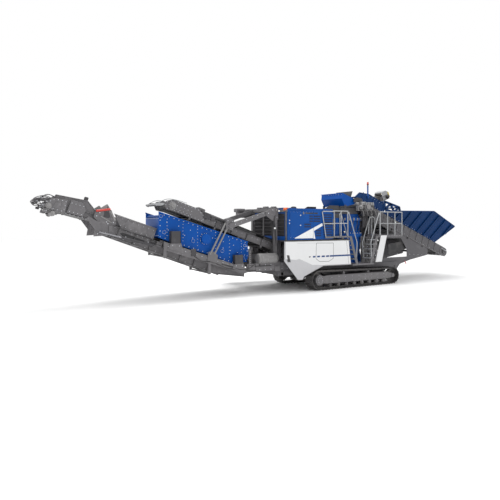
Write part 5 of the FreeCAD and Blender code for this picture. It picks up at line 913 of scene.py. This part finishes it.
for k in range(4):
    p.add(hose([(-4.0, -0.9 + 0.1 * k, 3.28), (-4.16, -1.0 + 0.09 * k, 2.95), (-4.1, -0.99 + 0.09 * k, 2.4),
        (-4.05, -0.92 + 0.08 * k, 1.8), (-4.22, -0.8 + 0.08 * k, 1.45)], 0.02), 5)
p.add(hose([(-5.05, -0.965, 1.18), (-5.4, -1.0, 1.02), (-5.75, -0.99, 1.02), (-6.1, -0.98, 1.14),
    (-6.5, -0.975, 1.26)], 0.018), 5)
p.done()

# Screen box: bolt rows, edge rails, tie ends, exciter covers and spring housings
WALL = np.array([(-8.9, 2.29), (-8.9, 3.21), (-5.3, 2.08), (-5.23, 1.56), (-5.33, 1.29), (-5.98, 1.23),
    (-6.58, 1.48), (-7.97, 1.95)])
WALL_Y = 0.78


def walked(points, pitch):
    """Points at an even pitch along an outline."""
    ring = np.vstack([points, points[:1]])
    step = np.linalg.norm(np.diff(ring, axis=0), axis=1)
    at = np.concatenate([[0], np.cumsum(step)])
    s = np.linspace(0, at[-1], int(at[-1] / pitch), endpoint=False)
    return np.stack([np.interp(s, at, ring[:, 0]), np.interp(s, at, ring[:, 1])], 1)


WALL_SKIN, SPRING_OUT = 0.776, 0.985
p = Piece("screen_details", "chassis", "blue_paint", "screen_blue", "bolt", "dark", "black", "grey")
p.bolts(at_side(walked(inset(WALL, 0.055), 0.19), -WALL_Y), 0.018, height=0.014)
for (xa, za), (xb, zb), pitch in (((-8.6, 2.84), (-5.46, 1.8), 0.41), ((-8.55, 2.56), (-5.42, 1.55), 0.29)):
    count = int(math.hypot(xb - xa, zb - za) / pitch)
    line = np.stack([np.linspace(xa, xb, count), np.linspace(za, zb, count)], 1)
    p.bolts(at_side(line, -WALL_Y), 0.017, height=0.013)
rib_x = np.array([-8.62, -8.02, -7.45, -6.72, -6.12, -5.6])
rib_top = np.interp(rib_x, [-8.9, -5.3], [3.15, 2.02])
rib_foot = np.interp(rib_x, [-8.9, -7.97, -6.58, -5.98, -5.33], [2.34, 2.02, 1.55, 1.31, 1.36])
p.bolts(np.concatenate([np.stack([rib_x + 0.03, np.full(6, -0.788),
    rib_foot + (rib_top - rib_foot) * k / 7], 1) for k in range(1, 7)]), 0.014)
p.pair(plate([(-8.905, 3.172), (-5.285, 2.036), (-5.27, 2.076), (-8.905, 3.214)], -WALL_SKIN, -0.822))
p.pair(plate([(-8.905, 2.29), (-7.98, 1.945), (-7.97, 1.985), (-8.905, 2.335)], -WALL_SKIN, -0.815))
p.pair(plate([(-6.59, 1.475), (-5.985, 1.225), (-5.33, 1.285), (-5.34, 1.325), (-5.98, 1.268),
    (-6.57, 1.515)], -WALL_SKIN, -0.815))
ties = [(-8.82, 3.05, 0.075), (-8.7, 2.48, 0.085), (-7.6, 2.15, 0.085), (-6.4, 1.74, 0.085),
    (-5.5, 1.44, 0.085), (-5.42, 1.93, 0.075)]
for x, z, r in ties:
    p.pair(knob([(-0.8, r * 0.45), (-0.796, r * 0.5), (-0.793, r), (-0.789, r + 0.004),
        (-0.778, r + 0.004)], (x, 0, z)))
    p.bolts(around(8, x, -0.795, z, r * 0.75), 0.011)
p.pair(knob([(-0.925, 0.13), (-0.915, 0.145), (-0.79, 0.15), (-0.777, 0.16)], (-7.1, 0, 2.215), sides=48))
p.bolts(around(14, -7.1, -0.778, 2.215, 0.205), 0.014)
p.add(hexes(grid(-8.9, np.linspace(-0.74, 0.74, 12), [2.36, 2.97]), REARWARDS, 0.016), 1)
for x, foot, top in ((-8.33, 2.045, 2.515), (-5.77, 1.205, 1.58)):
    p.pair(block((x - 0.185, -SPRING_OUT, foot), (x + 0.185, -0.965, top), 0.008), 2)
    p.pair(block([(x - 0.185, -SPRING_OUT, foot), (x + 0.165, -SPRING_OUT, foot)],
        [(x - 0.165, -0.8, top), (x + 0.185, -0.8, top)], 0.006), 2)
    slope = -0.33
    p.pair(plate([(x - 0.3, foot - 0.24 - 0.3 * slope), (x + 0.3, foot - 0.24 + 0.26 * slope),
        (x + 0.2, foot + 0.03), (x - 0.2, foot + 0.03)], -0.962, -0.998), 4)
    p.bolts([(x - 0.13, -0.998, foot - 0.04), (x + 0.13, -0.998, foot - 0.06)])
p.done()

p = Piece("spring_coils", "chassis", "track_steel", "dark", "grey")
for x, foot in ((-8.3, 2.16), (-5.75, 1.33)):
    p.pair(coil((x, -0.918, foot), 0.036, 0.007, 0.19, 6))
    p.pair(knob([(foot, 0.044), (foot + 0.01, 0.044)], (x, -0.918, 0), "Z", 20), 1)
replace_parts(p.done(), "screen_springs")

# Subframe: bolts and edge plates along its rising beams
BEAM_FACE = 0.955
p = Piece("subframe_details", "chassis", "grey_steel", "grey", "bolt", "dark", "black")
beam_x = np.linspace(-8.6, -5.6, 15)
beam_z = np.interp(beam_x, [-8.76, -5.4], [2.03, 0.98])
p.bolts(at_side(np.stack([beam_x, beam_z], 1), -0.96))
p.bolts(grid(np.linspace(-5.1, -3.5, 7), -0.96, [BEAM_FACE, 1.145]))
p.pair(plate([(-8.765, 2.13), (-5.4, 1.018), (-5.4, 1.042), (-8.765, 2.155)], -BEAM_FACE, -0.975))
p.pair(plate([(-5.42, 1.178), (-3.4, 1.178), (-3.4, 1.202), (-5.42, 1.202)], -BEAM_FACE, -0.975))
p.pair(plate([(-5.4, 0.88), (-4.05, 0.895), (-4.05, 0.92), (-5.4, 0.905)], -BEAM_FACE, -0.972))
p.pair(block([(-4.12, -0.99, 0.86), (-5.02, -0.985, 0.86)],
    [(-3.86, -BEAM_FACE, 1.24), (-4.94, -BEAM_FACE, 1.22)], 0.01))
p.pair(block((-7.75, -0.985, 1.6), (-7.55, -BEAM_FACE, 1.86), 0.02), 2)
p.pair(hose([(-7.65, -0.97, 1.62), (-7.3, -0.98, 1.4), (-6.9, -0.985, 1.35), (-6.3, -0.98, 1.1),
    (-5.7, -0.978, 0.99), (-5.0, -0.975, 0.94)], 0.014), 3)
p.done()

# Discharge conveyor: head plates, drive, scraper, edge bolts and rubber skirts
DISC_FACE, DISC_BEAM = 0.618, 0.53
p = Piece("discharge_details", "chassis", "grey_steel", "grey", "bolt", "cast", "rail", "black", "dark")
head_plate = [(-8.56, -0.2), (-8.7, -0.05), (-8.66, 0.1), (-8.42, 0.25), (-7.35, 0.262), (-7.1, 0.12),
    (-7.0, -0.165), (-8.2, -0.165)]
p.lay = DISC
p.pair(plate(head_plate, -0.603, -DISC_FACE))
p.bolts(at_side(walked(inset(np.array(head_plate), 0.045), 0.14), -DISC_FACE), 0.014)
p.pair(plate([(-8.3, -0.1), (-7.55, -0.1), (-7.55, 0.11), (-8.3, 0.13)], -DISC_FACE, -0.63))
p.bolts(grid(np.linspace(-8.22, -7.63, 5), -0.63, [-0.06, 0.07]), 0.013)
motor = [(-0.78, 0.001), (-0.78, 0.07), (-0.77, 0.085), (-0.7, 0.09), (-0.69, 0.12), (-0.645, 0.125),
    (-0.64, 0.15), (-0.612, 0.15), (-0.612, 0.001)]
p.pair(spun(motor, (-8.4, 0, 0)), 2)
p.bolts(around(10, -8.4, -0.64, 0, 0.137), 0.01)
p.pair(plate([(-9.02, -0.16), (-8.98, -0.11), (-8.56, 0.06), (-8.5, 0.02), (-8.8, -0.14), (-8.96, -0.2)],
    -0.555, -0.575), 3)
p.add(bar([(-8.98, -0.57, -0.15), (-8.78, -0.57, -0.06)], [(-8.98, 0.57, -0.15), (-8.78, 0.57, -0.06)],
    0.018), 3)
p.pair(hose([(-8.95, -0.58, -0.13), (-8.8, -0.62, 0.05), (-8.62, -0.64, 0.18), (-8.3, -0.63, 0.26),
    (-7.9, -0.6, 0.3)], 0.013), 3)
p.add(block([(-7.32, -0.4, 0.255), (-6.98, 0.05, 0.16)], [(-7.02, -0.05, 0.375), (-6.82, 0.32, 0.31)],
    0.02))
p.pair(block([(-7.12, -0.655, 0.02), (-6.78, -0.635, 0.03)], [(-6.86, -0.6, 0.24), (-6.62, -0.6, 0.16)],
    0.012), 5)
u = np.linspace(-6.8, -0.5, 26)
p.bolts(grid(u, -DISC_BEAM, 0.03), 0.014)
u = np.linspace(-6.5, -0.7, 9)
p.pair(boxes(u - 0.006, u + 0.006, -0.596, -DISC_BEAM, -0.15, 0.095, 0.003))
p.pair(boxes(np.linspace(-6.9, -1.6, 5), np.linspace(-6.9, -1.6, 5) + 0.92, -0.54, -0.5, 0.11, 0.215,
    0.008), 4)
u = np.linspace(-7.6, -1.0, 7)
p.add(bar(grid(u, -0.5, -0.205), grid(u, 0.5, -0.205), 0.045), 5)
p.pair(boxes(u - 0.03, u + 0.03, -0.6, -0.5, -0.26, -0.15, 0.005))
p.done()

# Fines conveyor: edge bolts, slots, brackets, return rollers and the lock above the fold
FINES_FACE, LEVER_FACE = 0.59, 0.676
p = Piece("fines_details", "chassis", "grey_steel", "grey", "bolt", "dark", "rail", "red", "black", "lamp",
    "cast")
u = np.linspace(-4.25, -0.4, 20)
p.lay = FINES
p.bolts(grid(u, -FINES_FACE, 0.09), 0.014)
p.bolts(grid(u[::2], -FINES_FACE, -0.2), 0.014)
u = np.linspace(-4.1, -0.5, 7)
p.pair(boxes(u - 0.006, u + 0.006, -0.655, -FINES_FACE, -0.245, 0.135, 0.003))
p.pair(plate([(-4.44, 0.505), (-2.86, 0.555), (-2.86, 0.575), (-4.44, 0.525)], -0.585, -0.635))
p.bolts(grid(np.linspace(-4.3, -2.95, 8), -FINES_FACE, [0.22, 0.46]), 0.012)
p.pair(block([(-3.98, -0.6, 0.17), (-3.2, -0.6, 0.17)], [(-3.94, -0.588, 0.5), (-3.16, -0.588, 0.51)],
    0.004))
p.pair(plate([(-3.95, 0.02), (-3.15, 0.02), (-3.1, -0.05), (-3.15, -0.12), (-3.85, -0.12), (-4.02, -0.04)],
    -0.588, -0.596), 5)
p.pair(block([(-2.72, -0.7, -0.02), (-2.45, -0.69, 0.02), (-2.62, -0.68, 0.16)],
    [(-2.5, -0.6, 0.16), (-2.3, -0.6, 0.12), (-2.4, -0.6, 0.24)], 0.015))
p.pair(bar([(-2.95, -0.675, 0.02)], [(-2.05, -0.675, 0.06)], 0.028), 2)
u = np.linspace(-4.0, -0.3, 6)
p.add(bar(grid(u, -0.56, -0.225), grid(u, 0.56, -0.225), 0.04), 2)
p.lay = None
p.pair(bar((-10.45, -0.684, 2.72), (-10.62, -0.684, 3.38), 0.022))
p.pair(bar((-10.54, -0.7, 3.27), (-11.0, -0.7, 3.205), 0.038), 4)
p.pair(plate([(-11.08, 3.0), (-11.04, 3.14), (-10.9, 3.22), (-10.62, 3.26), (-10.5, 3.24), (-10.4, 2.98),
    (-10.34, 2.76), (-10.52, 2.72), (-10.9, 2.8)], -0.662, -LEVER_FACE))
p.pair(plate([(-10.88, 3.29), (-10.66, 3.43), (-10.62, 3.43), (-10.54, 3.28), (-10.5, 3.2)], -0.655,
    -0.672), 7)
p.pair(plate([(-10.76, 3.01), (-10.73, 3.19), (-10.58, 3.2), (-10.52, 3.03), (-10.6, 2.96)], -LEVER_FACE,
    -0.682), 2)
p.pair(strip((-10.548, 3.215), (-10.37, 2.88), 0.026, -LEVER_FACE, -0.692), 7)
p.pair(strip((-10.86, 3.04), (-10.48, 2.8), 0.018, -0.682, -0.696), 7)
p.bolts([(-10.98, -LEVER_FACE, 3.04), (-10.88, -LEVER_FACE, 3.15), (-10.44, -LEVER_FACE, 2.82),
    (-10.66, -LEVER_FACE, 2.84)], 0.02)
p.pair(block([(-10.6, -0.72, 2.5), (-10.92, -0.705, 2.4)], [(-10.48, -0.675, 2.72), (-10.78, -0.675, 2.52)],
    0.012))
p.bolts([(-10.95, -0.68, 2.45), (-10.7, -0.68, 2.47), (-10.55, -0.68, 2.6), (-10.62, -0.68, 2.78),
    (-10.98, -0.68, 2.62)], 0.02)
p.pair(hose([(-9.06, -0.8, 2.05), (-9.12, -0.74, 2.22), (-9.45, -0.7, 2.36), (-9.9, -0.69, 2.5),
    (-10.3, -0.69, 2.62)], 0.014), 5)
p.done()

# Folding head: side plates, motor, covers and the bracketed tip
HEAD_FACE, HEAD_SKIN = 0.622, 0.64
p = Piece("head_details", "fines_head", "grey_steel", "grey", "bolt", "cast", "grey", "dark", "black")
p.lay = HEAD
p.pair(plate([(-0.55, 0.06), (-0.5, 0.3), (-0.66, 0.5), (-1.02, 0.505), (-1.05, 0.06)], -HEAD_FACE, -0.634),
    3)
p.bolts(grid(np.linspace(-0.98, -0.6, 4), -0.634, [0.12, 0.4]), 0.014)
side = [(-1.62, 0.02), (-1.72, 0.16), (-1.6, 0.4), (-1.12, 0.46), (-1.1, 0.02)]
p.pair(plate(side, -HEAD_FACE, -HEAD_SKIN))
p.bolts(at_side(walked(inset(np.array(side), 0.045), 0.12), -HEAD_SKIN), 0.014)
p.pair(plate([(-1.5, 0.1), (-1.44, 0.3), (-1.28, 0.34), (-1.24, 0.12)], -HEAD_SKIN, -0.652), 3)
p.pair(knob([(-0.7, 0.05), (-0.692, 0.06), (-0.66, 0.065), (-0.655, 0.095), (-0.626, 0.1)],
    (-1.62, 0, 0.13)), 2)
p.pair(knob([(-0.69, 0.06), (-0.68, 0.07), (-0.63, 0.093), (-0.6, 0.093)], (-1.45, 0, -0.077)), 2)
p.add(bar([(-1.9, -0.6, 0.3), (-2.02, -0.6, 0.22), (-1.8, -0.6, 0.08), (-1.7, -0.6, 0.34)],
    [(-1.9, 0.6, 0.3), (-2.02, 0.6, 0.22), (-1.8, 0.6, 0.08), (-1.7, 0.6, 0.34)], 0.018))
p.pair(hose([(-1.62, -0.6, 0.38), (-1.8, -0.61, 0.4), (-2.0, -0.61, 0.3), (-2.09, -0.6, 0.18),
    (-1.98, -0.6, 0.08), (-1.84, -0.6, 0.12)], 0.014), 3)
p.pair(hose([(-1.5, -HEAD_SKIN, 0.44), (-1.72, -0.65, 0.46), (-1.86, -HEAD_SKIN, 0.36),
    (-1.92, -0.63, 0.22), (-1.82, -0.62, 0.08)], 0.013), 5)
knots = [(-1.88, 0.3), (-1.98, 0.16), (-1.78, 0.1), (-1.7, 0.24), (-1.84, 0.02), (-1.66, -0.06)]
for k, (u0, v0) in enumerate(knots):
    reach = 0.045 + 0.012 * (k % 3)
    p.pair(block((u0 - reach, -HEAD_SKIN - 0.01 * (k % 2), v0 - reach * 0.7),
        (u0 + reach, -0.585, v0 + reach * 0.7), 0.012), (0, 4, 3)[k % 3])
    p.bolts([(u0 - 0.018, -HEAD_SKIN, v0), (u0 + 0.022, -HEAD_SKIN, v0 + 0.01)], 0.012, height=0.018)
p.pair(bar([(-1.45, -0.6, -0.13), (-1.2, -0.58, -0.02)], [(-1.72, -0.6, 0.0), (-1.52, -0.58, -0.1)], 0.02))
p.add(block((-HEAD_SKIN, -0.56, 0.62), (-0.52, -0.4, 0.73), 0.015), 4)
p.add(block((-0.6, -0.53, 0.5), (-0.56, -0.43, 0.63), 0.008))
ridge = np.array([(-0.2, 0.365), (-0.525, 0.615), (-1.5, 0.525), (-1.58, 0.245)])
for a, b in zip(ridge[:-1], ridge[1:]):
    p.pair(bar((a[0], -0.56, a[1]), (b[0], -0.56, b[1]), 0.014))
p.bolts(grid(np.linspace(-1.45, -0.3, 10), -0.62, [0.035]), 0.012)
p.add(bar(grid([-0.45, -1.05], -0.53, 0.02), grid([-0.45, -1.05], 0.53, 0.02), 0.028), 4)
p.add(block((-1.48, -0.5, 0.505), (-0.8, 0.5, 0.518), 0.004), 4)
p.done()

CYLINDER_Y = 0.785
p = Piece("fold_cylinder_trim", "fold_cylinders", "dark_steel", "dark", "bolt", "black")
p.lay = CYLINDER
p.pair(bar((-0.22, -CYLINDER_Y, 0), (-0.16, -CYLINDER_Y, 0), 0.05, 24))
p.pair(bar((-1.17, -CYLINDER_Y, 0), (-1.1, -CYLINDER_Y, 0), 0.05, 24))
p.pair(bar((-0.25, -CYLINDER_Y, 0.04), (-0.25, -CYLINDER_Y, 0.075), 0.014, 8), 1)
p.pair(bar((-1.05, -CYLINDER_Y, 0.04), (-1.05, -CYLINDER_Y, 0.07), 0.014, 8), 1)
p.pair(hose([(-0.25, -CYLINDER_Y, 0.07), (-0.45, -CYLINDER_Y, 0.085), (-0.8, -CYLINDER_Y, 0.08),
    (-1.05, -CYLINDER_Y, 0.068)], 0.008), 2)
p.done()

# Return conveyor: bolts, stiffeners, return rollers and the pale head guard
RETURN_FACE = 0.29
p = Piece("return_details", "return_conveyor", "grey_steel", "grey", "bolt", "dark", "rail", "yellow",
    "black")
u = np.linspace(0.3, 9.2, 26)
p.lay = RETURN
p.bolts(grid(u, -RETURN_FACE, 0.06), 0.012)
u = np.linspace(0.8, 9.0, 12)
p.pair(boxes(u - 0.006, u + 0.006, -0.356, -RETURN_FACE, -0.118, 0.088, 0.003))
u = np.linspace(1.2, 8.8, 6)
p.add(bar(grid(u, -0.28, -0.165), grid(u, 0.28, -0.165), 0.035), 2)
p.pair(boxes(u - 0.025, u + 0.025, -0.34, -0.28, -0.21, -0.115, 0.005))
p.pair(plate([(9.22, -0.1), (9.62, -0.1), (9.66, 0.1), (9.64, 0.22), (9.56, 0.3), (9.45, 0.34),
    (9.34, 0.33), (9.24, 0.26), (9.2, 0.1)], -0.296, -0.314), 3)
p.add(block((9.26, -0.3, 0.262), (9.56, 0.3, 0.332), 0.02), 3)
p.pair(block((9.6, -0.322, -0.06), (9.675, -RETURN_FACE, 0.2), 0.006), 4)
p.add(block((9.655, -RETURN_FACE, 0.19), (9.68, RETURN_FACE, 0.23), 0.006), 4)
p.pair(boxes(np.linspace(0.6, 8.2, 6), np.linspace(0.6, 8.2, 6) + 0.9, -0.335, -0.305, 0.1, 0.19, 0.006), 5)
p.pair(knob([(-0.45, 0.06), (-0.44, 0.075), (-0.37, 0.08), (-0.36, 0.1), (-0.3, 0.1)], (9.5, 0, 0)), 2)
p.done()

# Splash guard: rolled rim
p = Piece("guard_trim", "guard", "blue_paint", "screen_blue", "bolt")
p.add(bar((-0.325, -0.755, 4.175), (-0.325, 0.755, 4.175), 0.014))
p.add(hexes(grid(-0.335, np.linspace(-0.7, 0.7, 9), 4.12), REARWARDS, 0.01), 1)
p.done()

# Stage, light and camera
scene = bpy.context.scene
scene.view_settings.view_transform = "Standard"


def pale_world():
    """White for the camera and for reflections, softer for the light on the machine."""
    world = bpy.data.worlds.new("pale_sky")
    scene.world = world
    world.use_nodes = True
    tree = world.node_tree
    tree.nodes.clear()
    paths = tree.nodes.new("ShaderNodeLightPath")
    seen = tree.nodes.new("ShaderNodeBackground")
    seen.inputs["Color"].default_value = (1, 1, 1, 1)
    seen.inputs["Strength"].default_value = 1.0
    lit = tree.nodes.new("ShaderNodeBackground")
    lit.inputs["Color"].default_value = (1.0, 1.0, 1.0, 1)
    lit.inputs["Strength"].default_value = 1.04
    mix = tree.nodes.new("ShaderNodeMixShader")
    out = tree.nodes.new("ShaderNodeOutputWorld")
    tree.links.new(paths.outputs["Is Camera Ray"], mix.inputs[0])
    tree.links.new(lit.outputs[0], mix.inputs[1])
    tree.links.new(seen.outputs[0], mix.inputs[2])
    tree.links.new(mix.outputs[0], out.inputs[0])


def soft_light(name, place, aim, size, watts, colour=(1, 1, 1)):
    """An area lamp at a place, turned towards its aim."""
    lamp = bpy.data.lights.new(name, "AREA")
    lamp.shape = "RECTANGLE"
    lamp.size, lamp.size_y = size
    lamp.energy = watts
    lamp.color = colour
    made = bpy.data.objects.new(name, lamp)
    scene.collection.objects.link(made)
    made.location = place
    away = np.array(aim, float) - np.array(place, float)
    away /= np.linalg.norm(away)
    yaw = math.atan2(away[0], -away[1])
    made.rotation_euler = (math.acos(-away[2]), 0, yaw)
    return made


def pale_floor():
    """A wide floor that fades from the shadow into the pale background."""
    f = Finish("pale_floor")
    grain = f.noise(3.0, 4.0)
    tone = f.blend(grain, (0.955, 0.955, 0.955), (0.97, 0.97, 0.97))
    material = f.close(Base_Color=tone, Roughness=grain * 0.1 + 0.75)
    half, middle = 70.0, (-3.0, 0.0)
    mesh = bpy.data.meshes.new("studio_floor")
    corners = [(middle[0] + half * x, middle[1] + half * y, 0) for x,
        y in ((-1, -1), (1, -1), (1, 1), (-1, 1))]
    mesh.from_pydata(corners, [], [(0, 1, 2, 3)])
    mesh.materials.append(material)
    made = bpy.data.objects.new("studio_floor", mesh)
    scene.collection.objects.link(made)
    made.location = (0, 0, -0.001)
    return made


pale_world()
pale_floor()
for lamp in (soft_light("key", (-16, -14, 15), (-2.5, 0, 1.5), (9, 9), 3600, (1.0, 0.985, 0.965)),
             soft_light("fill", (9, -18, 7), (0, 0, 1.5), (10, 8), 1200, (0.97, 0.98, 1.0)),
             soft_light("top", (-3, 2, 16), (-3, 0, 1), (16, 8), 2200)):
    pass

camera_data = bpy.data.cameras.new("view")
camera_data.lens = 31.2
camera_data.sensor_width = 36
camera_data.shift_y = -0.0514
camera_data.clip_end = 400
camera = bpy.data.objects.new("view", camera_data)
scene.collection.objects.link(camera)
camera.location = (-13.76, -15.66, 2.76)
camera.rotation_euler = (math.radians(90), 0, math.radians(-30))
scene.camera = camera
